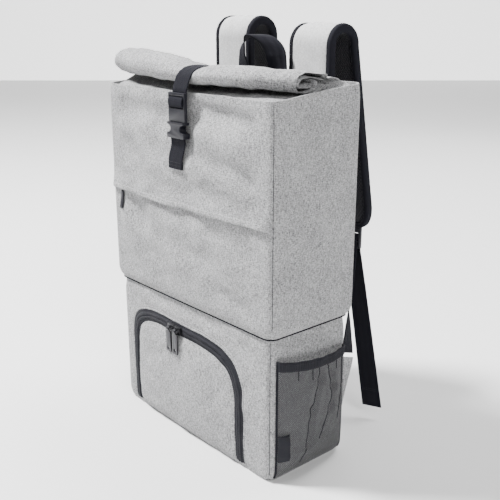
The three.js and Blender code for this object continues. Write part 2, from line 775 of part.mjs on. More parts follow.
function pocketPoint(side, y, up, off) {
  const across = y / pocketHalf;
  const top = mix(pocketTopFront, pocketTopBack, (across + 1) / 2);
  const z = mix(pocketBottom, top, up);
  const bow = Math.sqrt(Math.max(0, 1 - across * across));
  const swell = bow * Math.min(1, up / pocketSwellRun) * mix(1, pocketTopSwell, up);
  return vec(side * (sideX(lowerBody, y, z) + fitGap + off + pocketPuff * swell), y, z);
}

// Columns and rows that the mesh, its elastic and the label share, so that they lie face to face.
const pocketHeight = pocketTopFront - pocketBottom;
const elasticFrom = 1 - elasticHeight / pocketHeight;
const labelFrom = (labelBottom - pocketBottom) / pocketHeight;
const labelTo = labelFrom + labelHeight / pocketHeight;
const pocketUps = [0, labelFrom / 2, labelFrom, labelTo, (labelTo + elasticFrom) / 2, elasticFrom, 1];
const seamShares = [0, 0.25, 1];
const seamYs = seamShares.map((share) => pocketHalf - labelWidth * share);
const middleCount = 5;
const middleYs = Array.from({ length: middleCount }, (_, i) => {
  const share = mix(-1, 1, (i + 1) / (middleCount + 1));
  return share * (pocketHalf - labelWidth);
});
const pocketYs = [...seamYs.map((y) => -y), ...middleYs, ...seamYs.slice().reverse()];

function pocketGrid(side, ups, ys, off) {
  return ups.map((up) => ys.map((y) => pocketPoint(side, y, up, off)));
}

function makeSidePocket(name, side) {
  const grid = (ups, off) => pocketGrid(side, ups, pocketYs, off);
  addPiece(`mesh_pocket_${name}`, sheet(grid(pocketUps, pocketWall), grid(pocketUps, 0)), meshCloth);
  const inner = pocketWall + fitGap;
  const bandRows = [elasticFrom, 1];
  const band = sheet(grid(bandRows, inner + elasticThickness), grid(bandRows, inner));
  addPiece(`pocket_elastic_${name}`, band, blackCloth);
}

function makeSideLabel() {
  const grid = (off) => pocketGrid(1, [labelFrom, labelTo], pocketYs.slice(0, seamYs.length), off);
  const inner = pocketWall + 2 * fitGap;
  addPiece("side_label", sheet(grid(inner + labelThickness), grid(inner)), blackCloth);
}

// Shoulder straps. Path in the side view: up the back, over the bend and down to the lower end.
function strapSide(side) {
  const top = rimHeight + (side < 0 ? strapRiseLeft : strapRiseRight);
  const startY = upperDepth / 2 + fitGap + strapPadding / 2 + bindingRise;
  const rise = top - strapBend - strapBaseHeight;
  const bend = Math.PI * strapBend;
  const endY = upperDepth / 2 + strapEndBack;
  const bendY = startY + 2 * strapBend;
  const drop = Math.hypot(endY - bendY, top - strapBend - strapEndHeight);
  return { side, top, startY, bendY, endY, rise, bend, drop, length: rise + bend + drop };
}

// Point on the strap: s along it, w across it, n out of it.
function strapPoint(strap, s, w, n) {
  const { rise, bend, drop, startY, bendY, endY, top } = strap;
  const out = mix(strapTopOut, strapEndOut, Math.max(0, (s - rise - bend) / drop));
  const x = strap.side * out + w;
  if (s <= rise) return vec(x, startY - n, strapBaseHeight + s);
  if (s <= rise + bend) {
    const turn = Math.PI * (1 - (s - rise) / bend);
    const reach = strapBend + n;
    return vec(x, startY + strapBend + reach * Math.cos(turn), top - strapBend + reach * Math.sin(turn));
  }
  const down = (s - rise - bend) / drop;
  const tiltY = (top - strapBend - strapEndHeight) / drop;
  const tiltZ = (endY - bendY) / drop;
  const z = mix(top - strapBend, strapEndHeight, down);
  const settle = Math.min(1, down / strapSettleRun);
  return vec(x, mix(bendY, endY, down) + n * mix(1, tiltY, settle), z + n * tiltZ * settle);
}

// Edge of the strap from its base to the middle of its lower end, as places s and half widths.
function strapEdge(strap) {
  const { rise, bend, length } = strap;
  const half = strapWidth / 2;
  const bendSteps = 6;
  const straight = [0, rise];
  for (let i = 1; i <= bendSteps; i += 1) straight.push(rise + (bend * i) / bendSteps);
  const dropSteps = 5;
  const roundFrom = length - strapEndRound;
  for (let i = 1; i <= dropSteps; i += 1) straight.push(mix(rise + bend, roundFrom, i / dropSteps));
  const narrow = half - strapEndWidth / 2;
  const roundSteps = 4;
  const round = Array.from({ length: roundSteps }, (_, i) => {
    const angle = ((i + 1) / roundSteps) * (Math.PI / 2);
    return { s: roundFrom + strapEndRound * Math.sin(angle), half: half - narrow * (1 - Math.cos(angle)) };
  });
  return [...straight.map((s) => ({ s, half })), ...round];
}

// The same edge set in; at the end's corner only a share of the inset goes sideways.
function setInEdge(edge, inset) {
  return edge.map((point, i) => {
    const before = edge[Math.max(0, i - 1)];
    const after = edge[Math.min(edge.length - 1, i + 1)];
    const along = new THREE.Vector2(after.s - before.s, after.half - before.half).normalize();
    const last = i === edge.length - 1;
    if (last) return { s: point.s - inset, half: point.half - inset * strapEndSquare };
    return { s: i === 0 ? point.s : point.s + along.y * inset, half: point.half - along.x * inset };
  });
}

function makeStrap(name, side) {
  const strap = strapSide(side);
  const edge = strapEdge(strap);
  const inner = setInEdge(edge, bindingWidth);
  const clear = setInEdge(edge, bindingWidth + fitGap);
  const halfPad = strapPadding / 2;
  const faceFrom = halfPad - strapFaceThickness;
  const shares = [-1, -0.5, 0, 0.5, 1];
  const layer = (n) => clear.map(({ s, half }) => {
    return shares.map((share) => strapPoint(strap, s, share * half, n));
  });
  addPiece(`strap_face_${name}`, sheet(layer(halfPad), layer(faceFrom)), grey);
  addPiece(`strap_mesh_${name}`, sheet(layer(faceFrom - fitGap), layer(-halfPad)), meshCloth);

  const loop = (rows) => [
    ...rows.map(({ s, half }) => [s, -half]),
    ...rows.slice().reverse().map(({ s, half }) => [s, half]),
  ];
  const outerLoop = loop(edge);
  const innerLoop = loop(inner);
  const high = halfPad + bindingRise;
  const rings = outerLoop.map(([s, w], i) => {
    const [innerS, innerW] = innerLoop[i];
    return [
      strapPoint(strap, s, w, high),
      strapPoint(strap, innerS, innerW, high),
      strapPoint(strap, innerS, innerW, -high),
      strapPoint(strap, s, w, -high),
    ];
  });
  addPiece(`strap_binding_${name}`, loft(rings), blackCloth);
}

// Webbing through stations, each a middle point and the way across, with mitred bends.
function webbing(stations, width = webbingWidth, thickness = webbingThickness) {
  const segmentNormals = stations.slice(1).map((station, i) => {
    const across = station.across.clone().add(stations[i].across).normalize();
    return station.at.clone().sub(stations[i].at).cross(across).normalize();
  });
  const rings = stations.map((station, i) => {
    const before = segmentNormals[Math.max(0, i - 1)];
    const after = segmentNormals[Math.min(segmentNormals.length - 1, i)];
    const mitre = before.clone().add(after).divideScalar(1 + before.dot(after));
    const lift = mitre.multiplyScalar(thickness / 2);
    const half = station.across.clone().multiplyScalar(width / 2);
    const corner = (a, b) => station.at.clone().addScaledVector(half, a).addScaledVector(lift, b);
    return [corner(1, 1), corner(-1, 1), corner(-1, -1), corner(1, -1)];
  });
  return loft(rings);
}

// Wing tab: four-sided cloth tab sewn at the lower back corner, turned back behind the bag.
function tabFrame(side) {
  const turn = THREE.MathUtils.degToRad(tabTurn);
  const seamX = lowerWidth / 2 - tabSeamInset;
  const intoCorner = seamX - tabThickness - (lowerWidth / 2 - cornerRadius);
  const seamY = lowerDepth / 2 - cornerRadius + Math.sqrt(cornerRadius ** 2 - intoCorner ** 2) + fitGap;
  const out = vec(side * Math.cos(turn), Math.sin(turn), 0);
  const place = (u, z) => vec(side * seamX, seamY, z).addScaledVector(out, u);
  return { out, place, normal: vec(side * Math.sin(turn), -Math.cos(turn), 0) };
}

function makeWingTab(name, side) {
  const { place, normal } = tabFrame(side);
  const corners = [[0, tabBottom], [0, tabTop], [tabReach, tabTop - tabDrop]];
  const face = (off) => corners.map(([u, z]) => place(u, z).addScaledVector(normal, off));
  addPiece(`wing_tab_${name}`, loft([face(0), face(-tabThickness)]), grey);
}

// Ladder-lock below the strap's end: a plate with two slots and the bar between them.
function lockPlace(side) {
  const z = strapEndHeight - fitGap - lockHeight / 2;
  return vec(side * strapEndOut, upperDepth / 2 + strapEndBack, z);
}

function makeStrapLock(name, side) {
  const at = lockPlace(side);
  const slotWidth = webbingWidth + 2 * fitGap;
  const slotOff = (lockBar + lockSlot) / 2;
  const slot = (side) => boxSolid(slotWidth, lockThickness * 2, lockSlot, at.x, at.y, at.z + side * slotOff);
  const plate = boxSolid(lockWidth, lockThickness, lockHeight, at.x, at.y, at.z);
  addPiece(`strap_lock_${name}`, fromManifold(plate.subtract(slot(1)).subtract(slot(-1))), blackPlastic);
}

// Webbing from the wing tab up through the ladder-lock's upper slot and down as the free tail.
function makeStrapWebbing(name, side) {
  const { out, place, normal } = tabFrame(side);
  const lock = lockPlace(side);
  const edgeMiddle = place(tabReach / 2, tabTop - tabDrop / 2);
  const edgeWay = out.clone().multiplyScalar(tabReach).add(vec(0, 0, -tabDrop)).normalize();
  const off = lockThickness / 2 + fitGap + webbingThickness / 2;
  const slotZ = (lockBar + lockSlot) / 2;
  const acrossX = vec(-side, 0, 0);
  const runSteps = 5;
  const bottom = edgeMiddle.addScaledVector(normal, -tabThickness / 2).add(vec(0, 0, fitGap + tabDrop / 2));
  const under = lock.clone().add(vec(0, -off, -lockHeight / 2 - lockBar));
  const run = Array.from({ length: runSteps }, (_, i) => {
    const share = i / runSteps;
    const across = edgeWay.clone().multiplyScalar(1 - share).addScaledVector(acrossX, share).normalize();
    return { at: bottom.clone().lerp(under, share), across };
  });
  const threaded = [under, lock.clone().add(vec(0, -off, slotZ)), lock.clone().add(vec(0, off, slotZ))];
  const tailTop = lock.clone().add(vec(0, off, -lockHeight / 2));
  const tailEnd = vec(side * tailEndOut, upperDepth / 2 + tailEndBack, tailEndHeight);
  const tail = Array.from({ length: runSteps + 1 }, (_, i) => {
    const turn = THREE.MathUtils.degToRad((side * tailTurn * i) / runSteps);
    const across = vec(-side * Math.cos(turn), -side * Math.sin(turn), 0);
    return { at: tailTop.clone().lerp(tailEnd, i / runSteps), across };
  });
  const straight = threaded.map((at) => ({ at, across: acrossX }));
  addPiece(`strap_webbing_${name}`, webbing([...run, ...straight, ...tail]), blackCloth);
}

// Column of the collar's back face at a place x.
function backColumn(x) {
  const rimAt = rimOnFace(1, x);
  return { rimAt, out: [0, 1, 0], roll: x, side: 1, layer: layersAt(x), half: "up", flat: "up", sag: 0 };
}

// Height of the closed collar's roof at a place behind the roll.
function roofHeight(x, y) {
  const column = backColumn(x);
  const rim = rimPoint(column).at;
  const half = halfPoint(column).at;
  return mix(rim.z, half.z, (rim.y - y) / (rim.y - half.y)) + collarWall / 2;
}

// Handle: a loop of webbing, sewn flat along the back edge and turned edge-on at its top.
function makeGrabHandle() {
  const backY = upperDepth / 2 - handleInset;
  const half = handleSpan / 2;
  const station = (x, z, turn) => {
    const angle = THREE.MathUtils.degToRad(90 * turn);
    const lean = (webbingWidth / 2) * Math.cos(angle);
    const at = vec(handleCentre + x, backY - lean, z);
    return { at, across: vec(Math.sin(angle), Math.cos(angle), 0) };
  };
  const foot = (side) => {
    const x = handleCentre + side * half;
    const ends = [x - webbingWidth / 2, x + webbingWidth / 2];
    return Math.max(...ends.map((end) => roofHeight(end, backY - webbingThickness / 2))) + fitGap;
  };
  const legTop = handleTop - half * handleArch;
  const legMiddle = (side) => station(side * half, mix(foot(side), legTop, 0.5), side * handleLegTwist);
  const stations = [station(-half, foot(-1), -1), legMiddle(-1)];
  const steps = 10;
  for (let i = 0; i <= steps; i += 1) {
    const angle = Math.PI * (1 - i / steps);
    const z = legTop + (handleTop - legTop) * Math.sin(angle);
    stations.push(station(half * Math.cos(angle), z, handleTwist * Math.cos(angle)));
  }
  stations.push(legMiddle(1), station(half, foot(1), 1));
  addPiece("grab_handle", webbing(stations), blackCloth);
}

// Buckle: the slide's middle stands off the front, and the socket hangs below it.
const slideZ = buckleTop - slideHeight / 2;
const buckleY = frontY(upperBody, strapLine, slideZ) - buckleStandOff;
const upperSlotZ = buckleTop - slideRim - slideSlot / 2;
const lowerSlotZ = upperSlotZ - slideSlot - slideBar;
const socketTop = buckleTop - slideHeight - fitGap;
const socketBottom = socketTop - socketHeight;

function makeBuckleSlide() {
  const slotWidth = webbingWidth + 2 * fitGap;
  const slot = (z) => boxSolid(slotWidth, slideThickness * 2, slideSlot, strapLine, buckleY, z);
  const plate = boxSolid(slideWidth, slideThickness, slideHeight, strapLine, buckleY, slideZ);
  const slide = plate.subtract(slot(upperSlotZ)).subtract(slot(lowerSlotZ));
  addPiece("buckle_slide", fromManifold(slide), blackPlastic);
}

// Socket outline from its top to its lip. up: share of its height.
const socketRows = [
  { half: slideWidth / 2, up: 1 },
  { half: socketWaist / 2, up: 0.55 },
  { half: socketLip / 2, up: 0.22 },
  { half: socketLip / 2 - lipRound, up: 0 },
];

// The socket, with a round notch in each side and a grip for the anchor webbing below.
function makeBuckleSocket() {
  const edge = (side) => socketRows.map(({ half, up }) => new THREE.Vector2(side * half, up * socketHeight));
  const shape = new THREE.Shape([...edge(1), ...edge(-1).reverse()]);
  const block = new THREE.ExtrudeGeometry(shape, { depth: socketThickness, bevelEnabled: false });
  block.rotateX(Math.PI / 2).translate(strapLine, buckleY + socketThickness / 2, socketBottom);
  const notch = (side) => toManifold(new THREE.CylinderGeometry(1, 1, socketThickness * 2, 12)
    .scale(notchDepth, 1, notchHeight / 2)
    .translate(strapLine + (side * socketWaist) / 2, buckleY, socketBottom + socketHeight * notchUp));
  const gripWidth = webbingWidth + 2 * fitGap;
  const gripDepth = webbingThickness + 2 * fitGap;
  const grip = boxSolid(gripWidth, gripDepth, 2 * anchorGrip, strapLine, buckleY, socketBottom);
  const socket = toManifold(block).subtract(notch(-1)).subtract(notch(1)).subtract(grip);
  addPiece("buckle_socket", fromManifold(socket), blackPlastic);
}

// Strap over the roll: from the back edge over roof and roll, through the slide and down as its tail.
function makeClosureStrap() {
  const across = vec(1, 0, 0);
  const column = backColumn(strapLine);
  const ride = collarWall / 2 + fitGap + webbingThickness / 2;
  const over = ({ at, out }) => ({ at: vec(strapLine, at.y, at.z).addScaledVector(out, ride), across });
  const startY = upperDepth / 2 - handleInset - closureStart;
  const startZ = roofHeight(strapLine, startY) + fitGap + webbingThickness / 2;
  const overRoll = spiralDegrees
    .filter((degrees) => degrees <= 180)
    .map((degrees) => over(spiralPoint(column, degrees)));
  const off = slideThickness / 2 + fitGap + webbingThickness / 2;
  const threaded = [
    [off, buckleTop + slideRim],
    [off, upperSlotZ],
    [-off, upperSlotZ],
    [-off, lowerSlotZ],
    [off, lowerSlotZ],
    [off, lowerSlotZ - slideTail],
  ].map(([y, z]) => ({ at: vec(strapLine, buckleY + y, z), across }));
  const stations = [
    { at: vec(strapLine, startY, startZ), across },
    over(halfPoint(column)),
    over(foldPoint(column, 90)),
    over(foldPoint(column, 270)),
    ...overRoll,
    ...threaded,
  ];
  addPiece("closure_strap", webbing(stations), blackCloth);
}

// Shares of the way down at which the anchor webbing rests on the front panel.
const anchorDowns = [0.55, 0.7, 0.85, 1];

// Webbing that holds the socket: out of its grip and down onto the front panel.
function makeAnchorWebbing() {
  const across = vec(1, 0, 0);
  const onPanel = (z, lean) => {
    const x = strapLine - lean;
    const rest = 2 * fitGap + webbingThickness / 2;
    const width = [x - webbingWidth / 2, x, x + webbingWidth / 2];
    const out = Math.min(...width.map((place) => frontY(upperBody, place, z)));
    return { at: vec(x, out - rest, z), across };
  };
  const stations = [
    { at: vec(strapLine, buckleY, socketBottom + anchorGrip - 2 * fitGap), across },
    { at: vec(strapLine, buckleY, socketBottom - anchorMouth), across },
    ...anchorDowns.map((down) => onPanel(mix(socketBottom, anchorBottom, down), anchorLean * down)),
  ];
  addPiece("anchor_webbing", webbing(stations), blackCloth);
}

makeUpperBody();
makeCollar();
makePocketFlap();
makeCooler();
makeZipSlider("left", -1);
makeZipSlider("right", 1);
makeSidePocket("left", -1);
makeSidePocket("right", 1);
makeSideLabel();
makeStrap("left", -1);
makeStrap("right", 1);
makeWingTab("left", -1);
makeWingTab("right", 1);
makeStrapLock("left", -1);
makeStrapLock("right", 1);
makeStrapWebbing("left", -1);
makeStrapWebbing("right", 1);
makeGrabHandle();
makeBuckleSlide();
makeBuckleSocket();
makeClosureStrap();
makeAnchorWebbing();

export default model;
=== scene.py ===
import math

import bmesh
import bpy
import numpy as np
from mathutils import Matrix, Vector


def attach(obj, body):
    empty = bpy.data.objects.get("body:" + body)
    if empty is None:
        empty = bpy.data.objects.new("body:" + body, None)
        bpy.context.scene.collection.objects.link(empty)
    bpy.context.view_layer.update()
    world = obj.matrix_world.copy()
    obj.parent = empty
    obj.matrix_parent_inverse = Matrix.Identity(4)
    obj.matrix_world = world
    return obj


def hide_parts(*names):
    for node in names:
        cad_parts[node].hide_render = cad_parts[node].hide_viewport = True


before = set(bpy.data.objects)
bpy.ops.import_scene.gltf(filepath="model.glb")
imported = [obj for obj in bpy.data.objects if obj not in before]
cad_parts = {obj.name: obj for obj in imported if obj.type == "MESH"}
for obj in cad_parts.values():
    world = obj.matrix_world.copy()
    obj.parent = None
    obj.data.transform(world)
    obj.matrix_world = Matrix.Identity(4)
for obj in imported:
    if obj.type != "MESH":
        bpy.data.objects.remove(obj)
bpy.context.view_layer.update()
mm = 0.001                    # every size below is in millimetres, as in the part
bag = "bag"
gap = 0.3                     # clearance between neighbouring pieces
hands = (("left", -1), ("right", 1))
print("frame loaded:", len(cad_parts), "nodes")


# small maths

def mix(a, b, share):
    return a + (b - a) * share


def unit(v):
    v = np.asarray(v, float)
    return v / np.maximum(np.linalg.norm(v, axis=-1, keepdims=True), 1e-9)


def smoothRead(keys, values, at, soften=0.012):
    # straight reading between table rows, averaged over a short span so that no row shows
    spots = np.linspace(-1, 1, 7)
    return sum(np.interp(np.asarray(at) + s * soften, keys, values) for s in spots) / len(spots)


def table(columns, rows):
    # rows of numbers as one array for each named column
    return dict(zip(columns.split(), np.array(rows, float).T))


def place(x, y, z):
    return np.stack(np.broadcast_arrays(x, y, z), -1)


def evenOut(count, curved=0.5):
    # places from -1 to 1, closer together near both ends
    straight = np.linspace(-1, 1, count)
    return curved * np.sin(math.pi / 2 * straight) + (1 - curved) * straight


def runLengths(points):
    steps = np.linalg.norm(np.diff(points, axis=0), axis=1)
    return np.concatenate([[0], np.cumsum(steps)])


def readAlong(run, values, at):
    # values known at lengths run, read at other lengths
    return np.stack([np.interp(at, run, values[:, k]) for k in range(values.shape[1])], -1)


def closed(points):
    # ring with its first point again at the end
    return np.vstack([points, points[:1]])


def ringsAround(path, first, second, radius, count):
    # circles round each point of a path, in the plane of two ways
    turn = np.linspace(0, 2 * math.pi, count + 1)[:-1, None]
    first, second = (np.broadcast_to(way, path.shape)[:, None] for way in (first, second))
    radius = np.broadcast_to(radius, len(path))[:, None, None]
    return path[:, None] + radius * (np.cos(turn) * first + np.sin(turn) * second)


# mesh pieces: grids of points with cloth coordinates in millimetres

def newShape():
    return {"points": [], "faces": [], "uvs": [], "count": 0}


def addGrid(shape, points, us=None, vs=None, flip=False):
    points = np.asarray(points, float)
    rows, cols = points.shape[:2]
    if us is None:
        us = runLengths(points[rows // 2])
    if vs is None:
        vs = runLengths(points[:, cols // 2])
    us = np.broadcast_to(us, (rows, cols))
    vs = np.broadcast_to(np.asarray(vs)[:, None] if np.ndim(vs) == 1 else vs, (rows, cols))
    uv = np.stack([us, vs], 2).reshape(-1, 2)
    start = shape["count"]
    shape["points"].append(points.reshape(-1, 3))
    shape["count"] += rows * cols
    index = np.arange(rows * cols).reshape(rows, cols)
    quads = np.stack([index[:-1, :-1], index[:-1, 1:], index[1:, 1:], index[1:, :-1]], 2).reshape(-1, 4)
    if flip:
        quads = quads[:, ::-1]
    shape["faces"].append(quads + start)
    shape["uvs"].append(uv[quads])


def addSheet(shape, outer, inner, us=None, vs=None):
    # closed thin solid between two grids
    addGrid(shape, outer, us, vs)
    addGrid(shape, inner, us, vs, flip=True)
    for edge in (np.stack([outer[0], inner[0]]), np.stack([inner[-1], outer[-1]]),
                 np.stack([outer[:, 0], inner[:, 0]]), np.stack([inner[:, -1], outer[:, -1]])):
        addGrid(shape, edge)


def addCap(shape, ring, flip=False):
    # ring closed by strips from one half to the other
    half = len(ring) // 2
    addGrid(shape, np.stack([ring[:half], ring[half:][::-1]]), flip=flip)


def addTube(shape, rings):
    # swept skin through rings that each close on themselves, with end caps
    rings = np.asarray(rings, float)
    addGrid(shape, np.concatenate([rings, rings[:, :1]], 1))
    for ring in (rings[0], rings[-1]):
        addCap(shape, ring)


def newPiece(name, data):
    piece = bpy.data.objects.new(name, data)
    bpy.context.scene.collection.objects.link(piece)
    return piece


def shapePiece(shape, name, weld=0.004, smooth=40):
    mesh = bpy.data.meshes.new(name)
    points = np.vstack(shape["points"]) * mm
    mesh.from_pydata(points.tolist(), [], np.vstack(shape["faces"]).tolist())
    layer = mesh.uv_layers.new(name="cloth")
    layer.data.foreach_set("uv", np.vstack([uv.reshape(-1, 2) for uv in shape["uvs"]]).ravel())
    piece = newPiece(name, mesh)
    cleanMesh(piece, weld, smooth)
    return piece


def finishShape(shape, name, finish, replaces=(), body=bag, smooth=60):
    return dress(shapePiece(shape, name, smooth=smooth), finish, replaces, body)


def editMesh(piece, edit):
    work = bmesh.new()
    work.from_mesh(piece.data)
    edit(work)
    work.to_mesh(piece.data)
    work.free()


def cleanMesh(piece, weld=0.004, smooth=40):
    def joinAndTurn(work):
        bmesh.ops.remove_doubles(work, verts=work.verts, dist=weld * mm)
        bmesh.ops.dissolve_degenerate(work, edges=work.edges, dist=weld * mm)
        bmesh.ops.recalc_face_normals(work, faces=work.faces)

    editMesh(piece, joinAndTurn)
    piece.data.polygons.foreach_set("use_smooth", [True] * len(piece.data.polygons))
    piece.data.set_sharp_from_angle(angle=math.radians(smooth))


def dress(piece, finish, replaces=(), body=bag):
    piece.data.materials.clear()
    piece.data.materials.append(finishes[finish])
    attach(piece, body)
    if replaces:
        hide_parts(*replaces)
    return piece


def applyModifiers(piece):
    bpy.context.view_layer.update()
    done = bpy.data.meshes.new_from_object(piece.evaluated_get(bpy.context.evaluated_depsgraph_get()))
    piece.modifiers.clear()
    piece.data = done


# one stitch: places along it, its thickness and height as shares of the thread's radius
stitchForm = table("along size lift", [
    (0, 0.35, -0.9), (0.12, 0.85, 0), (0.5, 1, 0.45), (0.88, 0.85, 0), (1, 0.35, -0.9)])


def addStitches(shape, path, normals, look):
    # short thread loops along a path, lying just over the cloth; one normal, or one for each point
    run = runLengths(path)
    normals = np.broadcast_to(np.asarray(normals, float), path.shape)
    for start in np.arange(look["space"] / 2, run[-1] - look["length"], look["length"] + look["space"]):
        at = readAlong(run, path, start + look["length"] * stitchForm["along"])
        up = unit(readAlong(run, normals, start))
        across = np.cross(unit(at[-1] - at[0]), up)
        at = at + look["radius"] * stitchForm["lift"][:, None] * up
        addTube(shape, ringsAround(at, across, up, look["radius"] * stitchForm["size"], 6))


stitchLook = {"length": 2.6, "space": 0.9, "radius": 0.32}


# shared effects, each a node group with its own inputs

def newGroup(name, inputs, outputs):
    group = bpy.data.node_groups.new(name, "ShaderNodeTree")
    for label, kind, value in inputs:
        socket = group.interface.new_socket(name=label, in_out="INPUT", socket_type=kind)
        if value is not None:
            socket.default_value = value
    for label, kind in outputs:
        group.interface.new_socket(name=label, in_out="OUTPUT", socket_type=kind)
    return group, group.nodes.new("NodeGroupInput").outputs, group.nodes.new("NodeGroupOutput").inputs


def addNode(tree, kind, settings=None, **inputs):
    node = tree.nodes.new(kind)
    for key, value in (settings or {}).items():
        setattr(node, key, value)
    for key, value in inputs.items():
        socket = node.inputs[int(key[1:])] if key[0] == "i" and key[1:].isdigit() else node.inputs[key]
        if isinstance(value, bpy.types.NodeSocket):
            tree.links.new(value, socket)
        else:
            socket.default_value = value
    return node


def maths(tree, operation, a, b=0.0):
    return addNode(tree, "ShaderNodeMath", {"operation": operation}, i0=a, i1=b).outputs[0]


def sums(tree):
    # short names for the usual sums in a tree
    def short(operation):
        return lambda a, b: maths(tree, operation, a, b)
    return [short(operation) for operation in ("ADD", "SUBTRACT", "MULTIPLY", "DIVIDE")]


def blendColour(tree, share, a, b):
    return addNode(tree, "ShaderNodeMix", {"data_type": "RGBA"}, i0=share, i6=a, i7=b).outputs[2]


def noise(tree, at, scale, detail):
    return addNode(tree, "ShaderNodeTexNoise", Vector=at, Scale=scale, Detail=detail).outputs[0]


def streaks(tree, u, v, longSize, thinSize, seed):
    # noise drawn out along u
    at = addNode(tree, "ShaderNodeCombineXYZ", X=maths(tree, "DIVIDE", u, longSize),
                 Y=maths(tree, "DIVIDE", v, thinSize), Z=seed)
    return noise(tree, at.outputs[0], 1.0, 2.0)


floatKind, vectorKind, colourKind = "NodeSocketFloat", "NodeSocketVector", "NodeSocketColor"
shades = {"yarn": 0.35, "both": 0.4, "fine": 0.25, "broad": 0.08, "broadLong": 38.0, "broadTall": 30.0}


def makeHeatherWeave():
    # plain weave of light and dark yarns: slubs along both ways of the cloth
    group, given, made = newGroup("heatherWeave", [
        ("Cloth", vectorKind, None), ("Yarn", floatKind, 0.7), ("Slub", floatKind, 9.0),
        ("Light", colourKind, None), ("Dark", colourKind, None), ("Contrast", floatKind, 1.0),
    ], [("Colour", colourKind), ("Height", floatKind)])
    add, minus, times, over = sums(group)
    at = addNode(group, "ShaderNodeSeparateXYZ", Vector=given["Cloth"]).outputs
    u, v, yarn, slub = at[0], at[1], given["Yarn"], given["Slub"]
    warp, weft = (maths(group, "SINE", times(over(way, yarn), math.pi)) for way in (u, v))
    weave = times(warp, weft)
    across, along = streaks(group, u, v, slub, yarn, 3.1), streaks(group, v, u, slub, yarn, 8.7)
    fine = streaks(group, u, v, yarn, yarn, 5.5)
    broad = streaks(group, u, v, shades["broadLong"], shades["broadTall"], 1.3)
    pick = maths(group, "GREATER_THAN", weave, 0.0)
    yarnShade = add(times(pick, across), times(minus(1.0, pick), along))
    shade = add(times(yarnShade, shades["yarn"]), times(times(add(across, along), 0.5), shades["both"]))
    shade = add(shade, times(fine, shades["fine"]))
    shade = add(shade, times(minus(broad, 0.5), shades["broad"]))
    spread = times(minus(shade, 0.5), given["Contrast"])
    share = addNode(group, "ShaderNodeClamp", Value=add(spread, 0.5)).outputs[0]
    group.links.new(blendColour(group, share, given["Dark"], given["Light"]), made["Colour"])
    group.links.new(add(times(weave, 0.5), times(fine, 0.5)), made["Height"])
    return group


def makeRibbing():
    # woven tape: herringbone ribs along v, broken at each chevron across u; its tone output is painted shade,
    # darker in the grooves between the ribs, mixed with random fuzz
    group, given, made = newGroup("ribbing", [
        ("Cloth", vectorKind, None), ("Pitch", floatKind, 1.2), ("Chevron", floatKind, 6.0),
        ("Lean", floatKind, 0.6),
    ], [("Height", floatKind), ("GrooveShadeAndFuzz", floatKind)])
    add, minus, times, over = sums(group)
    at = addNode(group, "ShaderNodeSeparateXYZ", Vector=given["Cloth"]).outputs
    chevrons = maths(group, "PINGPONG", at[0], given["Chevron"])
    slant = add(at[1], times(chevrons, given["Lean"]))
    turns = times(over(slant, given["Pitch"]), 2 * math.pi)
    ribs = times(add(maths(group, "SINE", turns), 1.0), 0.5)
    fuzz = streaks(group, at[0], at[1], 1.5, 0.5, 2.2)
    group.links.new(ribs, made["Height"])
    # painted shade: the grooves between the ribs darker, with random fuzz
    group.links.new(add(times(ribs, 0.6), times(fuzz, 0.4)), made["GrooveShadeAndFuzz"])
    return group


def makeNet():
    # knitted net: diamonds between two crossing sets of threads
    group, given, made = newGroup("net", [
        ("Cloth", vectorKind, None), ("Pitch", floatKind, 2.2), ("Thread", floatKind, 0.5),
        ("Tall", floatKind, 1.5),
    ], [("Solid", floatKind), ("Height", floatKind)])
    add, minus, times, over = sums(group)
    at = addNode(group, "ShaderNodeSeparateXYZ", Vector=given["Cloth"]).outputs
    u, v = over(at[0], given["Pitch"]), over(over(at[1], given["Pitch"]), given["Tall"])
    threads = [maths(group, "ABSOLUTE", maths(group, "SINE", times(way, math.pi)))
               for way in (add(u, v), minus(u, v))]
    nearest = maths(group, "MINIMUM", *threads)
    group.links.new(maths(group, "LESS_THAN", nearest, given["Thread"]), made["Solid"])
    group.links.new(minus(1.0, nearest), made["Height"])
    return group


def makeScuffs():
    # patchy wear of mouldings and metal: lighter, rougher flecks
    group, given, made = newGroup("scuffs", [
        ("Place", vectorKind, None), ("Size", floatKind, 3.0), ("Amount", floatKind, 0.3),
        ("Rough", floatKind, 0.45),
    ], [("Mask", floatKind), ("Roughness", floatKind), ("Height", floatKind)])
    add, minus, times, over = sums(group)
    scale = over(1000.0, given["Size"])
    coarse = noise(group, given["Place"], scale, 4.0)
    fine = noise(group, given["Place"], times(scale, 6.0), 3.0)
    group.links.new(times(coarse, given["Amount"]), made["Mask"])
    group.links.new(add(given["Rough"], times(minus(fine, 0.5), 0.25)), made["Roughness"])
    group.links.new(fine, made["Height"])
    return group


heatherWeave, ribbing, net, scuffs = makeHeatherWeave(), makeRibbing(), makeNet(), makeScuffs()


def newMaterial(name, roughness, sheen=0.0, metallic=0.0, specular=0.5):
    material = bpy.data.materials.new(name)
    material.use_nodes = True
    tree = material.node_tree
    shader = tree.nodes["Principled BSDF"]
    shader.inputs["Roughness"].default_value = roughness
    shader.inputs["Metallic"].default_value = metallic
    shader.inputs["Specular IOR Level"].default_value = specular
    shader.inputs["Sheen Weight"].default_value = sheen
    shader.inputs["Sheen Roughness"].default_value = 0.5
    return material, tree, shader


def clothPlace(tree):
    # place on the cloth in millimetres
    return addNode(tree, "ShaderNodeUVMap", {"uv_map": "cloth"}).outputs[0]


def placeGroup(tree, group, look, **inputs):
    # a shared effect; its inputs take the piece's own values of the same names
    node = addNode(tree, "ShaderNodeGroup", {"node_tree": group}, **inputs)
    for socket in node.inputs:
        if socket.name.lower() in look:
            socket.default_value = look[socket.name.lower()]
    return node


def addBump(tree, shader, height, strength, distance):
    bump = addNode(tree, "ShaderNodeBump", Strength=strength, Distance=distance * mm, Height=height)
    tree.links.new(bump.outputs[0], shader.inputs["Normal"])


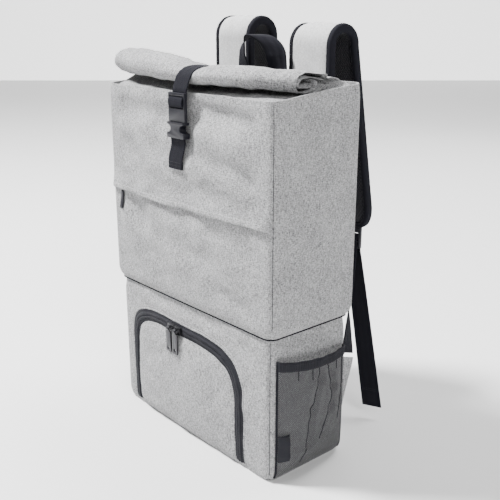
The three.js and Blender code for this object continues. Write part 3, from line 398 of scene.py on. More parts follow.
def greyCloth(name, look):
    material, tree, shader = newMaterial(name, look["roughness"], look["sheen"], specular=0.25)
    weave = placeGroup(tree, heatherWeave, look, Cloth=clothPlace(tree))
    tree.links.new(weave.outputs["Colour"], shader.inputs["Base Color"])
    addBump(tree, shader, weave.outputs["Height"], look["bump"], look["yarn"] * 0.35)
    return material


def tapeCloth(name, look):
    material, tree, shader = newMaterial(name, look["roughness"], look["sheen"], specular=0.12)
    ribs = placeGroup(tree, ribbing, look, Cloth=clothPlace(tree))
    # colour darker in the grooves between ribs: painted shade, with random fuzz
    colour = blendColour(tree, ribs.outputs["GrooveShadeAndFuzz"], look["dark"], look["light"])
    tree.links.new(colour, shader.inputs["Base Color"])
    addBump(tree, shader, ribs.outputs["Height"], look["bump"], look["pitch"] * 0.3)
    return material


def netCloth(name, look):
    material, tree, shader = newMaterial(name, look["roughness"], look["sheen"], specular=0.3)
    mesh = placeGroup(tree, net, look, Cloth=clothPlace(tree))
    # colour follows the net's height: painted shade, darker at the edges of each thread and, where the net is
    # closed, dark in its holes
    colour = blendColour(tree, mesh.outputs["Height"], look["dark"], look["light"])
    tree.links.new(colour, shader.inputs["Base Color"])
    if look["open"]:
        tree.links.new(mesh.outputs["Solid"], shader.inputs["Alpha"])
    addBump(tree, shader, mesh.outputs["Height"], look["bump"], look["pitch"] * 0.4)
    return material


def hardFinish(name, look):
    material, tree, shader = newMaterial(name, look["roughness"], 0.0, look["metallic"], 0.35)
    at = addNode(tree, "ShaderNodeTexCoord").outputs["Object"]
    worn = placeGroup(tree, scuffs, look, Place=at, Rough=look["roughness"])
    colour = blendColour(tree, worn.outputs["Mask"], look["dark"], look["light"])
    tree.links.new(colour, shader.inputs["Base Color"])
    tree.links.new(worn.outputs["Roughness"], shader.inputs["Roughness"])
    addBump(tree, shader, worn.outputs["Height"], look["bump"], 0.05)
    return material


def tone(value, warm=0.0):
    return (value * (1 + warm), value, value * (1 - warm * 0.5) + 0.004, 1)


finishTable = {
    "bodyCloth": (greyCloth, {
        "yarn": 0.8, "slub": 3.6, "light": tone(0.46), "dark": tone(0.08), "contrast": 4.0,
        "bump": 0.9, "roughness": 0.95, "sheen": 0.05}),
    "strapCloth": (greyCloth, {
        "yarn": 0.7, "slub": 3.0, "light": tone(0.66), "dark": tone(0.3), "contrast": 2.8,
        "bump": 0.6, "roughness": 0.95, "sheen": 0.05}),
    "webbingCloth": (tapeCloth, {
        "pitch": 1.6, "chevron": 4.1, "lean": 0.9, "light": tone(0.013), "dark": tone(0.001),
        "bump": 0.8, "roughness": 0.8, "sheen": 0.0}),
    "bindingCloth": (tapeCloth, {
        "pitch": 0.9, "chevron": 40, "lean": 0.0, "light": tone(0.014), "dark": tone(0.003),
        "bump": 0.6, "roughness": 0.85, "sheen": 0.0}),
    "zipTape": (tapeCloth, {
        "pitch": 1.1, "chevron": 2.2, "lean": 0.7, "light": tone(0.02), "dark": tone(0.005),
        "bump": 0.6, "roughness": 0.7, "sheen": 0.03}),
    "pocketNet": (netCloth, {
        "pitch": 1.9, "thread": 0.5, "tall": 1.3, "light": tone(0.1), "dark": tone(0.004),
        "open": True, "bump": 0.6, "roughness": 0.8, "sheen": 0.1}),
    # spacer net: closed, so its holes show the painted shade of the dark colour
    "spacerNet": (netCloth, {
        "pitch": 3.4, "thread": 0.5, "tall": 1.4, "light": tone(0.014), "dark": tone(0.001),
        "open": False, "bump": 1.0, "roughness": 0.8, "sheen": 0.03}),
    "labelCloth": (tapeCloth, {
        "pitch": 0.5, "chevron": 40, "lean": 0.0, "light": tone(0.012), "dark": tone(0.006),
        "bump": 0.2, "roughness": 0.5, "sheen": 0.02}),
    "elasticCloth": (tapeCloth, {
        "pitch": 0.8, "chevron": 40, "lean": 0.0, "light": tone(0.022), "dark": tone(0.006),
        "bump": 0.5, "roughness": 0.8, "sheen": 0.05}),
    "thread": (tapeCloth, {
        "pitch": 0.6, "chevron": 40, "lean": 0.5, "light": tone(0.55), "dark": tone(0.3),
        "bump": 0.4, "roughness": 0.7, "sheen": 0.05}),
    "darkThread": (tapeCloth, {
        "pitch": 0.6, "chevron": 40, "lean": 0.5, "light": tone(0.03), "dark": tone(0.01),
        "bump": 0.4, "roughness": 0.7, "sheen": 0.05}),
    "blackPlastic": (hardFinish, {
        "size": 4, "amount": 0.3, "light": tone(0.02), "dark": tone(0.003), "roughness": 0.42,
        "metallic": 0.0, "bump": 0.15}),
    "gunMetal": (hardFinish, {
        "size": 3, "amount": 0.5, "light": tone(0.1), "dark": tone(0.03), "roughness": 0.36,
        "metallic": 0.85, "bump": 0.1}),
}
finishes = {name: make(name, look) for name, (make, look) in finishTable.items()}
print("finishes made:", len(finishes))


# soft forms: the part's own tables, read smoothly, with the folds of the real cloth on top

upperForm = {
    "width": 304, "depth": 130, "base": 174.3, "height": 247.7, "rise": 12, "radius": 17,
    "levels": table("level width depth front side", [
        (0, 0.95, 0.935, 0, 0), (0.012, 0.98, 0.975, 0, 0), (0.045, 1, 1, 0.012, 0.004),
        (0.16, 1, 1, 0.04, 0.012), (0.32, 1, 1, 0.05, 0.016), (0.46, 1, 1, 0.05, 0.016),
        (0.58, 1, 1, 0.05, 0.012), (0.7, 1, 1, 0.055, 0.008), (0.81, 1, 1, 0.04, 0.004),
        (0.9, 1, 1, 0.02, -0.012), (0.965, 0.997, 1, 0.008, -0.02), (1, 0.99, 0.985, 0, -0.02)]),
    "dents": table("face along wide level tall depth", [
        (0, 0.45, 0.7, 0.89, 0.07, -0.035), (0, -0.75, 0.3, 0.83, 0.07, -0.03),
        (0, -0.35, 0.4, 0.66, 0.08, 0.02), (0, 0.55, 0.4, 0.74, 0.09, 0.025),
        (0, -0.55, 0.35, 0.4, 0.06, -0.02), (0, 0.7, 0.25, 0.12, 0.08, -0.02),
        (1, -0.2, 0.6, 0.8, 0.09, -0.025), (1, 0.3, 0.5, 0.35, 0.15, 0.012)]),
    # creases: from and to are places on the face (x or y, z); deep is inwards
    "folds": table("face fromSide fromUp toSide toUp wide deep", [
        (0, 36, 409, 130, 398, 11, 3.4), (0, 44, 384, 128, 368, 13, -3.2), (0, 20, 360, 126, 338, 11, 2.2),
        (0, -112, 398, -22, 392, 12, 3.0), (0, -128, 372, -60, 378, 14, -2.2),
        (0, -120, 350, -70, 332, 12, 1.6),
        (0, 30, 345, 110, 322, 12, -1.6), (0, -40, 352, -6, 336, 10, 1.2), (0, -8, 378, 26, 372, 8, 2.2),
        (0, -100, 286, -76, 262, 12, 2.4), (0, -128, 270, -96, 236, 16, -2.6),
        (0, -50, 276, 30, 262, 14, -1.6),
        (0, -30, 256, 60, 240, 14, 1.8), (0, 60, 280, 128, 262, 12, 1.8), (0, 70, 240, 128, 226, 13, -1.6),
        (0, -60, 226, 20, 210, 14, 1.2), (0, 60, 210, 126, 196, 10, 1.6), (0, -126, 206, -80, 192, 10, 1.4),
        (1, -50, 406, 16, 398, 9, 2.4), (1, -20, 384, 44, 350, 12, 1.8), (1, -46, 350, -12, 296, 11, 1.8),
        (1, 8, 306, 46, 250, 13, 1.6), (1, -42, 262, 0, 214, 11, 1.6), (1, 36, 404, 50, 330, 8, 1.6),
        (1, -34, 330, -30, 220, 7, -1.2)]),
    "swell": 0.9, "seed": 3,
}
lowerForm = {
    "width": 290, "depth": 122, "base": 0, "height": 174, "rise": 0, "radius": 17,
    "levels": table("level width depth front side", [
        (0, 0.965, 0.945, 0, 0), (0.02, 0.985, 0.97, 0.005, 0), (0.07, 1, 0.995, 0.02, 0.004),
        (0.28, 1, 1, 0.045, 0.012), (0.5, 1, 1, 0.05, 0.016), (0.72, 1, 1, 0.04, 0.012),
        (0.9, 1, 1, 0.015, 0.004), (1, 0.985, 0.98, 0, 0)]),
    "dents": table("face along wide level tall depth", [
        (0, -0.1, 0.45, 0.3, 0.25, 0.02), (0, 0.86, 0.12, 0.55, 0.3, 0.015),
        (0, -0.9, 0.12, 0.45, 0.3, -0.015)]),
    "folds": table("face fromSide fromUp toSide toUp wide deep", [
        (0, 104, 152, 134, 128, 10, 2.2), (0, 110, 104, 134, 84, 10, 1.6), (0, -138, 162, -112, 148, 9, 1.8),
        (0, -70, 168, 60, 164, 7, 1.4), (0, 112, 60, 134, 30, 11, 1.4), (0, -136, 90, -124, 40, 9, 1.2),
        (1, -44, 168, 40, 160, 8, 1.8), (1, 20, 156, 50, 140, 8, 1.2)]),
    "swell": 0.7, "seed": 8,
}


def ripple(points, size, seed, waves=7):
    # soft random swell, about one high, as waves in random directions
    random = np.random.default_rng(seed)
    ways = unit(random.normal(size=(waves, 3))) * random.uniform(0.6, 1.5, (waves, 1))
    phases = random.uniform(0, 2 * math.pi, waves)
    return np.sin(points @ ways.T * (2 * math.pi / size) + phases).sum(-1) / math.sqrt(waves)


foldForm = {"power": 1.6, "bank": 0.45, "bankAt": 1.7}      # a crease and the soft banks beside it


def foldAt(folds, face, side, up):
    total = np.zeros(np.broadcast(side, up).shape)
    for i in range(len(folds["face"])):
        fold = {key: column[i] for key, column in folds.items()}
        runX, runZ = fold["toSide"] - fold["fromSide"], fold["toUp"] - fold["fromUp"]
        share = ((side - fold["fromSide"]) * runX + (up - fold["fromUp"]) * runZ) / (runX ** 2 + runZ ** 2)
        share = np.clip(share, 0, 1)
        off = np.hypot(side - fold["fromSide"] - share * runX, up - fold["fromUp"] - share * runZ)
        off = off / fold["wide"]
        bank = np.exp(-(off - foldForm["bankAt"]) ** 2)
        crease = np.exp(-off ** foldForm["power"]) - foldForm["bank"] * bank
        total = total - np.where(face == fold["face"], fold["deep"] * crease, 0)
    return total


# how soon the cloth's slack sets in from an edge, its two sizes of swell, and the corners' sewn ridge
slack = {"fromSide": 4, "fromEnd": 12, "top": 1.02, "broad": 70, "small": 24, "smallShare": 0.4}
ridge = {"deep": 1.1, "wide": 0.13}


def skin(form, kx, ky, ox, oy, face, level, inset=0.0, closedEnds=2):
    # points of a body's outer face; kx, ky: place on its straight runs, ox, oy: way out
    kx, ky, ox, oy, face, level = np.broadcast_arrays(kx, ky, ox, oy, face, level)
    read = {key: smoothRead(form["levels"]["level"], column, level)
            for key, column in form["levels"].items()}
    radius = form["radius"] - inset
    halfX = form["width"] * read["width"] / 2 - form["radius"]
    halfY = form["depth"] * read["depth"] / 2 - form["radius"]
    along = np.where(face == 1, ky, kx)
    flat = 1 - along ** 2
    dents = form["dents"]
    dent = sum(np.where(face == dents["face"][i], dents["depth"][i], 0)
               * np.exp(-((along - dents["along"][i]) / dents["wide"][i]) ** 2
                        - ((level - dents["level"][i]) / dents["tall"][i]) ** 2)
               for i in range(len(dents["face"])))
    out = form["depth"] * flat * (np.where(face == 0, read["front"], 0)
                                  + np.where(face == 1, read["side"], 0) + dent)
    side = np.where(face == 1, ky * halfY, kx * halfX)
    up = form["base"] + level * form["height"]
    soft = np.clip(flat * slack["fromSide"], 0, 1) \
        * np.clip(np.minimum(level, slack["top"] - level) * slack["fromEnd"], 0, 1)
    out = out + foldAt(form["folds"], face, side, up) * soft
    toRidge = (np.abs(ox) - np.abs(oy)) / ridge["wide"]
    out = out - ridge["deep"] * np.where(face == 3, np.exp(-toRidge ** 2), 0)
    spot = place(kx * halfX, ky * halfY, up)
    swell = ripple(spot, slack["broad"], form["seed"]) \
        + slack["smallShare"] * ripple(spot, slack["small"], form["seed"] + 1)
    out = out + form["swell"] * swell * soft
    x = kx * halfX + ox * (radius + out)
    y = ky * halfY + oy * (radius + out)
    height = form["height"] - closedEnds * inset
    z = form["base"] + inset + level * height + form["rise"] * level * (y / form["depth"] + 0.5)
    return np.stack([x, y, z], -1)


cornerPower = 0.62            # corners of the cloth bodies are a little squarer than arcs


def cornerDrop(past, radius):
    # how far a rounded corner falls back at a distance past the straight run
    share = np.clip(past / radius, 0, 1)
    return radius * (1 - (1 - share ** (2 / cornerPower)) ** (cornerPower / 2))


def faceSpot(form, size, along, level):
    # place on a face's straight run, and how far the corner falls back there
    levels = form["levels"]
    half = form[size] * smoothRead(levels["level"], levels[size], level) / 2 - form["radius"]
    past = np.clip(np.abs(along) - half, 0, form["radius"])
    return np.clip(along / half, -1, 1), cornerDrop(past, form["radius"])


def onFront(form, x, z, out=0.0):
    # point on the front face, out from it
    x, z, out = np.broadcast_arrays(*(np.asarray(v, float) for v in (x, z, out)))
    level = (z - form["base"]) / form["height"]
    kx, drop = faceSpot(form, "width", x, level)
    y = skin(form, kx, -1, 0, -1, 0, level)[..., 1] + drop
    return place(x, y - out, z)


def onSide(form, side, y, z, out=0.0):
    # point on a side face; side is -1 or 1
    y, z, out = np.broadcast_arrays(*(np.asarray(v, float) for v in (y, z, out)))
    level = (z - form["base"]) / form["height"]
    ky, drop = faceSpot(form, "depth", y, level)
    x = skin(form, side, ky, side, 0, 1, level)[..., 0] - side * drop
    return place(x + side * out, y, z)


def outline(front, side, corner):
    # round a section from the left end of the front: kx, ky, ox, oy, face
    rows = []
    faces = [(0, (0, -1), (1, 0), front), (1, (1, 0), (0, 1), side),
             (2, (0, 1), (-1, 0), front), (1, (-1, 0), (0, -1), side)]
    for face, out, go, count in faces:
        for along in np.linspace(-1, 1, count + 1):
            rows.append((out[0] + go[0] * along, out[1] + go[1] * along, out[0], out[1], face))
        for turn in np.linspace(0, math.pi / 2, corner + 1)[1:-1]:
            ease, turned = math.cos(turn) ** cornerPower, math.sin(turn) ** cornerPower
            way = [out[k] * ease + go[k] * turned for k in (0, 1)]
            rows.append((out[0] + go[0], out[1] + go[1], way[0], way[1], 3))
    return np.array(rows).T


bodyRing = outline(100, 42, 14)


def makeUpper():
    # hollow cloth, open at its top: outer skin, inner skin and the rim between them
    look = {"levels": 84, "foot": 0.05, "footLevels": 8, "wall": 2}
    levels = np.unique(np.concatenate([np.linspace(0, look["foot"], look["footLevels"]),
                                       np.linspace(look["foot"], 1, look["levels"])]))[:, None]
    outer = skin(upperForm, *bodyRing, levels)
    inner = skin(upperForm, *bodyRing, levels, inset=look["wall"], closedEnds=1)
    shape = newShape()
    for points, flip in ((outer, False), (inner, True)):
        addGrid(shape, np.concatenate([points, points[:, :1]], 1), flip=flip)
    addGrid(shape, np.stack([closed(outer[-1]), closed(inner[-1])]))
    addCap(shape, outer[0], flip=True)
    addCap(shape, inner[0])
    finishShape(shape, "bagUpper", "bodyCloth", ["upper_body"], smooth=55)


makeUpper()
print("upper body made")


# copies of the part's own solids, where only their edges or their cloth change

def copyNode(node, name):
    return newPiece(name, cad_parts[node].data.copy())


def boxCloth(piece):
    # cloth coordinates in millimetres from the side that each face looks to
    mesh = piece.data
    layer = mesh.uv_layers.get("cloth") or mesh.uv_layers.new(name="cloth")
    flats = {0: (1, 2), 1: (0, 2), 2: (0, 1)}
    for face in mesh.polygons:
        axis = max(range(3), key=lambda k: abs(face.normal[k]))
        for corner in face.loop_indices:
            place = mesh.vertices[mesh.loops[corner].vertex_index].co
            layer.data[corner].uv = [place[k] / mm for k in flats[axis]]


rounding = {"weld": 0.01, "flat": 2, "sharp": 35, "steps": 3, "smooth": 32, "tidy": 0.002}


def roundedCopy(node, name, finish, body=bag, edge=0.5):
    # moulding or casting with its edges rounded
    def joinFlats(work):
        bmesh.ops.remove_doubles(work, verts=work.verts, dist=rounding["weld"] * mm)
        bmesh.ops.dissolve_limit(work, verts=work.verts, edges=work.edges,
                                 angle_limit=math.radians(rounding["flat"]))

    piece = copyNode(node, name)
    editMesh(piece, joinFlats)
    bevel = piece.modifiers.new("edges", "BEVEL")
    bevel.width = edge * mm
    bevel.segments = rounding["steps"]
    bevel.limit_method = "ANGLE"
    bevel.angle_limit = math.radians(rounding["sharp"])
    bevel.use_clamp_overlap = True
    applyModifiers(piece)
    cleanMesh(piece, rounding["tidy"], rounding["smooth"])
    boxCloth(piece)
    dress(piece, finish, [node], body)


def makeRoll():
    # into: height over which the slack sets in; behind: how far back the roll reaches; strapAt, strapRun:
    # the stretch that the closure strap holds flat
    look = {"rounding": 2, "crumple": 0.6, "crumpleSize": 24, "fine": 0.3, "fineSize": 8, "full": 0.09,
            "lift": 1.5, "from": 431, "into": 8, "behind": 26, "strapAt": 10, "strapRun": 17}
    axis = table("x y z", [(-149, -33, 446), (-90, -41, 444), (0, -42, 438), (50, -41, 438.5),
                           (90, -34, 437.6), (139, -6, 434)])

    def joinToQuads(work):
        bmesh.ops.remove_doubles(work, verts=work.verts, dist=0.005 * mm)
        bmesh.ops.join_triangles(work, faces=work.faces, angle_face_threshold=math.pi,
                                 angle_shape_threshold=math.pi)

    piece = copyNode("roll_collar", "collarRoll")
    editMesh(piece, joinToQuads)
    finer = piece.modifiers.new("rounding", "SUBSURF")
    finer.levels = finer.render_levels = look["rounding"]
    finer.boundary_smooth = "PRESERVE_CORNERS"
    applyModifiers(piece)
    points = np.zeros(len(piece.data.vertices) * 3)
    piece.data.vertices.foreach_get("co", points)
    points = points.reshape(-1, 3) / mm
    x = points[:, 0]
    centre = place(x, np.interp(x, axis["x"], axis["y"]), np.interp(x, axis["x"], axis["z"]))
    inRoll = np.clip((points[:, 2:] - look["from"]) / look["into"], 0, 1) \
        * (points[:, 1:2] < centre[:, 1:2] + look["behind"])
    inRoll = inRoll * (1 - np.exp(-((points[:, :1] - look["strapAt"]) / look["strapRun"]) ** 4))
    points = points + (points - centre) * look["full"] * inRoll + inRoll * [0, 0, look["lift"]]
    swell = look["crumple"] * ripple(points, look["crumpleSize"], 21)[:, None] * [0.3, 0.8, 1] \
        + look["fine"] * ripple(points, look["fineSize"], 22)[:, None] * [0.3, 0.5, 1]
    piece.data.vertices.foreach_set("co", ((points + swell) * mm).ravel())
    piece.data.update()
    cleanMesh(piece, rounding["tidy"], 60)
    boxCloth(piece)
    dress(piece, "bodyCloth", ["roll_collar"])


makeRoll()
print("collar made")


# front pocket: the flap, its stitching and its pull

seamThread = newShape()
forwards, upwards = np.array([0, -1, 0]), np.array([0, 0, 1])
flap = {"half": 147, "bottom": 294, "height": 26, "wall": 1.4, "hem": 0.8, "hemUp": 6, "hemWide": 2.6,
        "off": 2.0, "close": 0.3, "wave": 0.5, "waveRun": 31, "swell": 0.35, "swellSize": 34,
        "edge": 1.2, "topRun": 0.75, "endRun": 9, "thin": 0.05}


def makeFlap():
    xs = np.linspace(-flap["half"], flap["half"], 121)
    ups = np.concatenate([np.linspace(0, 0.06, 4)[:-1], np.linspace(0.06, 0.94, 16),
                          np.linspace(0.94, 1, 4)[1:]])
    x, up = np.meshgrid(xs, ups)
    down = 1 - up
    z = flap["bottom"] + flap["height"] * up + flap["wave"] * np.sin(x / flap["waveRun"]) * down
    swell = flap["swell"] * ripple(place(x, 0, z), flap["swellSize"], 31)
    full = np.clip(down / flap["topRun"], 0, 1)       # full thickness, away from the sewn top and ends
    full = full * full * (3 - 2 * full) * np.clip((flap["half"] - np.abs(x)) / flap["endRun"], 0, 1) ** 0.5
    away = (gap + 0.2 + (flap["off"] + swell) * down) * mix(flap["close"], 1, full)
    lowerEdge = np.clip(up * flap["height"] / flap["edge"], 0, 1)
    hem = np.exp(-((up * flap["height"] - flap["hemUp"] / 2) / flap["hemWide"]) ** 4)
    thick = (flap["wall"] * np.sqrt(1 - (1 - lowerEdge) ** 2) + flap["hem"] * hem) * full + flap["thin"]
    shape = newShape()
    outer = onFront(upperForm, x, z, away + thick)
    addSheet(shape, outer, onFront(upperForm, x, z, away), xs, z[:, 0])
    row = int(np.argmin(np.abs(z[:, 0] - flap["bottom"] - flap["hemUp"] - 0.8)))
    path = outer[row, 2:-2]
    addStitches(seamThread, path, forwards, stitchLook)
    return finishShape(shape, "frontFlap", "bodyCloth", ["pocket_flap"], smooth=40)


def makeFlapPull():
    pull = {"x": -121, "top": 293.7, "length": 24, "narrow": 2.2, "wide": 3.4, "thick": 1.9, "off": 0.8,
            "round": 0.08, "rib": 0.12, "ribTurn": 44}
    turn = np.linspace(0, 2 * math.pi, 25)[:-1]
    cx, cy = np.cos(turn), np.sin(turn)
    shape = newShape()
    rings = []
    for down in np.concatenate([[0, 0.01, 0.035], np.linspace(0.08, 0.92, 12), [0.965, 0.99, 1]]):
        z = pull["top"] - pull["length"] * down
        past = max(0, abs(down - 0.5) - (0.5 - pull["round"]))
        end = math.sqrt(max(0, 1 - past ** 2 / pull["round"] ** 2))
        half = mix(pull["narrow"], pull["wide"], down ** 0.7) * max(end, 0.12)
        thick = pull["thick"] / 2 * max(end, 0.25) * (1 + pull["rib"] * math.cos(down * pull["ribTurn"])
                                                      * (0.25 < down < 0.9))
        y = onFront(upperForm, pull["x"], z)[1] - pull["off"] - pull["thick"] / 2
        rings.append(place(pull["x"] + half * np.sign(cx) * np.abs(cx) ** 0.5,
                           y + thick * np.sign(cy) * np.abs(cy) ** 0.5, z))
    addTube(shape, rings)
    return finishShape(shape, "flapPull", "blackPlastic", ["pocket_zip_pull"], smooth=50)


makeFlap()
makeFlapPull()
print("front pocket made")


# cooler: padded shell with an arched opening, its door and the zip between them

arch = {"centre": -10, "half": 105, "height": 138, "spring": 60, "bottom": 6.3, "left": 5.0, "right": 3.6,
        "tape": 7.5}


def archTurns(count):
    # angles that space the crown of the arch evenly
    angles = np.linspace(0, math.pi, 4001)
    crown = archCrown(angles, 0)
    run = runLengths(crown)
    return np.interp(np.linspace(0, run[-1], count), run, angles)


def archCrown(angles, grow):
    cx, cy = np.cos(angles), np.sin(angles)
    power = np.where(cx < 0, 2 / arch["left"], 2 / arch["right"])
    x = arch["centre"] + (arch["half"] + grow) * np.sign(cx) * np.abs(cx) ** power
    z = arch["spring"] + (arch["height"] - arch["spring"] + grow) * np.abs(cy) ** power
    return np.stack([x, z], -1)


crownTurns = archTurns(200)


def archLine(grow, bottom=None):
    # right leg up, over the crown, left leg down: places (x, z) on the front
    bottom = arch["bottom"] if bottom is None else bottom
    legs = np.linspace(0, 1, 30)[:-1]
    crown = archCrown(crownTurns, grow)
    up = np.stack([np.full(29, crown[0, 0]), mix(bottom, crown[0, 1], legs)], -1)
    down = np.stack([np.full(29, crown[-1, 0]), mix(crown[-1, 1], bottom, 1 - legs[::-1])], -1)
    return np.vstack([up, crown, down])


def archAway(x, z, grow):
    # distance of places on the front from the arch line
    line = archLine(grow)
    away = np.full(np.broadcast(x, z).shape, 1e9)
    for px, pz in line[::2]:
        away = np.minimum(away, np.hypot(x - px, z - pz))
    return away


def cutAway(piece, cutter):
    cut = piece.modifiers.new("cut", "BOOLEAN")
    cut.operation = "DIFFERENCE"
    cut.solver = "EXACT"
    cut.object = cutter
    applyModifiers(piece)
    bpy.data.objects.remove(cutter)


def makeCooler():
    look = {"front": 104, "side": 38, "corner": 14, "levels": 64, "wall": 5, "dip": 1.6, "dipRun": 7}
    ring = outline(look["front"], look["side"], look["corner"])
    levels = np.unique(np.concatenate([np.linspace(0, 0.04, 7), np.linspace(0.04, 0.96, look["levels"]),
                                       np.linspace(0.96, 1, 6)]))[:, None]
    solids = []
    for inset in (0, look["wall"]):
        points = skin(lowerForm, *ring, levels, inset=inset)
        if inset == 0:
            onFace = np.where(points[..., 1] < -40, 1, 0)
            away = archAway(points[..., 0], points[..., 2], arch["tape"])
            dip = look["dip"] * np.exp(-away / look["dipRun"])
            points[..., 1] += dip * onFace
        shape = newShape()
        addTube(shape, points)
        solids.append(shapePiece(shape, "coolerSolid"))
    line = archLine(arch["tape"], 6.0)
    shape = newShape()
    block = [np.stack([line[:, 0], np.full(len(line), y), line[:, 1]], 1) for y in (-110, -25)]
    addTube(shape, block)
    piece = solids[0]
    cutAway(piece, solids[1])
    cutAway(piece, shapePiece(shape, "archBlock"))
    piece.name = "coolerShell"
    cleanMesh(piece, 0.002, 50)
    boxCloth(piece)
    dress(piece, "bodyCloth", ["lower_body"])
    return piece


def onArch(line, out):
    return onFront(lowerForm, line[:, 0], line[:, 1], out)


def sweptBead(name, grow, out, radius, bottom=None):
    # folded edge of cloth along the arch, a little flat
    path = onArch(archLine(grow, bottom), out)
    across = unit(np.cross(unit(np.gradient(path, axis=0)), forwards))
    shape = newShape()
    addTube(shape, ringsAround(path, across, 0.7 * forwards, radius, 12))
    finishShape(shape, name, "bodyCloth", ())


def makeDoor():
    look = {"rows": 70, "cols": 90, "wall": 4.6, "puff": 2.4, "edge": 11, "tuck": 1.4, "tuckRun": 2.5,
            "fade": 8, "swell": 0.35, "swellSize": 30}
    inner = -arch["tape"]
    top = arch["height"] + inner - 0.05
    angles = np.linspace(0, math.pi / 2, look["rows"] - 24)
    crownZ = arch["spring"] + (top - arch["spring"]) * np.sin(angles) ** 0.75
    zs = np.concatenate([np.linspace(arch["bottom"], arch["spring"], 25)[:-1], crownZ])
    share = np.clip((zs - arch["spring"]) / (arch["height"] + inner - arch["spring"]), 0, 1)
    halves = {key: (arch["half"] + inner) * (1 - share ** arch[key]) ** (1 / arch[key])
              for key in ("left", "right")}
    across = evenOut(look["cols"], 0.6)
    x = arch["centre"] + across * np.where(across < 0, halves["left"][:, None], halves["right"][:, None])
    z = np.broadcast_to(zs[:, None], x.shape)
    away = np.minimum(archAway(x, z, inner), z - arch["bottom"] + 4)
    folds = table("face fromSide fromUp toSide toUp wide deep", [
        (0, -85, 84, -40, 100, 9, 0.9), (0, -30, 112, 30, 118, 8, 0.8), (0, 40, 60, 72, 96, 9, 0.8),
        (0, -80, 30, -20, 20, 10, 0.7)])
    puff = look["puff"] * (1 - np.exp(-away / look["edge"])) - look["tuck"] * np.exp(-away / look["tuckRun"])
    swell = look["swell"] * ripple(place(x, 0, z), look["swellSize"], 44)
    puff = puff + (foldAt(folds, 0, x, z) + swell) * (1 - np.exp(-away / look["fade"]))
    shape = newShape()
    addSheet(shape, onFront(lowerForm, x, z, puff), onFront(lowerForm, x, z, -look["wall"]), x, z)
    piece = finishShape(shape, "coolerDoor", "bodyCloth", ["cooler_door"], smooth=50)


def makeZip():
    # tape with its two coil covers and the groove between them
    profile = table("grow out", [
        (7.2, -1.2), (6.9, -0.95), (5.6, -0.95), (5.35, -0.75), (5.1, -0.95), (3.9, -0.9), (3.6, -0.55),
        (3.3, -0.1), (2.6, 0.25), (1.6, 0.3), (0.7, 0.15), (0.25, -0.5), (0, -0.7), (-0.25, -0.5),
        (-0.7, 0.15), (-1.6, 0.3), (-2.6, 0.25), (-3.3, -0.1), (-3.6, -0.55), (-3.9, -0.9), (-5.1, -0.95),
        (-5.35, -0.75), (-5.6, -0.95), (-6.9, -0.95), (-7.2, -1.2)])
    lines = [archLine(grow) for grow in profile["grow"]]
    outer = np.stack([onArch(line, out) for line, out in zip(lines, profile["out"])], 1)
    inner = np.stack([onArch(line, -2.6) for line in lines], 1)
    run = runLengths(archLine(0))
    shape = newShape()
    addSheet(shape, outer, inner, profile["grow"], run)
    finishShape(shape, "zipBand", "zipTape", ["door_zipper"])

    # coil: one short bar across the groove for each turn
    bar = table("across lift radius", [
        (-1.5, -0.35, 0.2), (-1.1, -0.15, 0.42), (0, -0.1, 0.45), (1.1, -0.15, 0.42), (1.5, -0.35, 0.2)])
    pitch = 1.25
    turns = newShape()
    path = onArch(archLine(0), 0)
    way = unit(np.gradient(path, axis=0))
    across = unit(np.cross(way, forwards))
    for at in np.arange(pitch, run[-1] - pitch, pitch):
        centre, side, along = (readAlong(run, values, at) for values in (path, across, way))
        middles = centre + bar["across"][:, None] * side + bar["lift"][:, None] * forwards
        addTube(turns, ringsAround(middles, along, forwards, bar["radius"], 6))
    finishShape(turns, "zipCoil", "zipTape", ())


def makeCoolerSeams():
    sweptBead("openingHem", arch["tape"] + 0.7, -1.5, 1.3, bottom=6.0)
    sweptBead("doorHem", -arch["tape"] - 0.7, -1.2, 1.2)
    for grow, out in ((arch["tape"] + 4.2, -0.75), (-arch["tape"] - 4.0, 0.25)):
        addStitches(seamThread, onArch(archLine(grow), out), forwards, stitchLook)


makeCooler()
makeDoor()
makeZip()
makeCoolerSeams()
for hand, side in hands:
    roundedCopy("door_slider_" + hand, "zipSlider_" + hand, "gunMetal", edge=0.7)
    roundedCopy("door_pull_" + hand, "zipPull_" + hand, "gunMetal", hand + "_zip_pull",
                edge=0.4)
print("cooler made")


# side pockets: net from seam to seam, its gathered elastic and the bare label

pocketForm = {
    "topFront": 148, "topBack": 139, "bottom": 5, "puff": 12, "half": 51.9, "wall": 1, "swellRun": 0.2,
    "topSwell": 0.8, "elastic": 11, "elasticThick": 1.4, "sag": 3.0, "swell": 0.5, "swellSize": 28,
    "label": {"width": 13, "bottom": 27, "height": 33, "thick": 0.8, "off": 0.5, "swell": 0.2, "edge": 0.8},
    # creases of the net: places (y, z) on the side; deep is inwards
    "folds": table("face fromSide fromUp toSide toUp wide deep", [
        (1, 1, 138, 3, 116, 5, 2.0), (1, 3, 116, -10, 82, 5, 2.6), (1, -10, 82, -14, 40, 5, 2.2),
        (1, 14, 136, 26, 98, 5, 2.2), (1, 26, 98, 24, 74, 5, 2.2), (1, 24, 74, 8, 56, 5, 1.6),
        (1, 44, 134, 46, 92, 5, 1.6), (1, -40, 66, -30, 30, 7, 1.4), (1, 12, 40, 30, 20, 7, 1.6)]),
    # dark cords along the net's sharp creases: points (y, z) on the side
    "creases": [
        [(1, 137), (3, 116), (-10, 84), (-14, 44), (-24, 14)],
        [(14, 136), (26, 100), (24, 76), (6, 50), (2, 40)],
        [(44, 134), (47, 96), (36, 50)],
        [(-28, 138), (-29, 122)], [(-8, 138), (-10, 118)], [(33, 135), (32, 118)]],
    "creaseSize": 0.5,
}


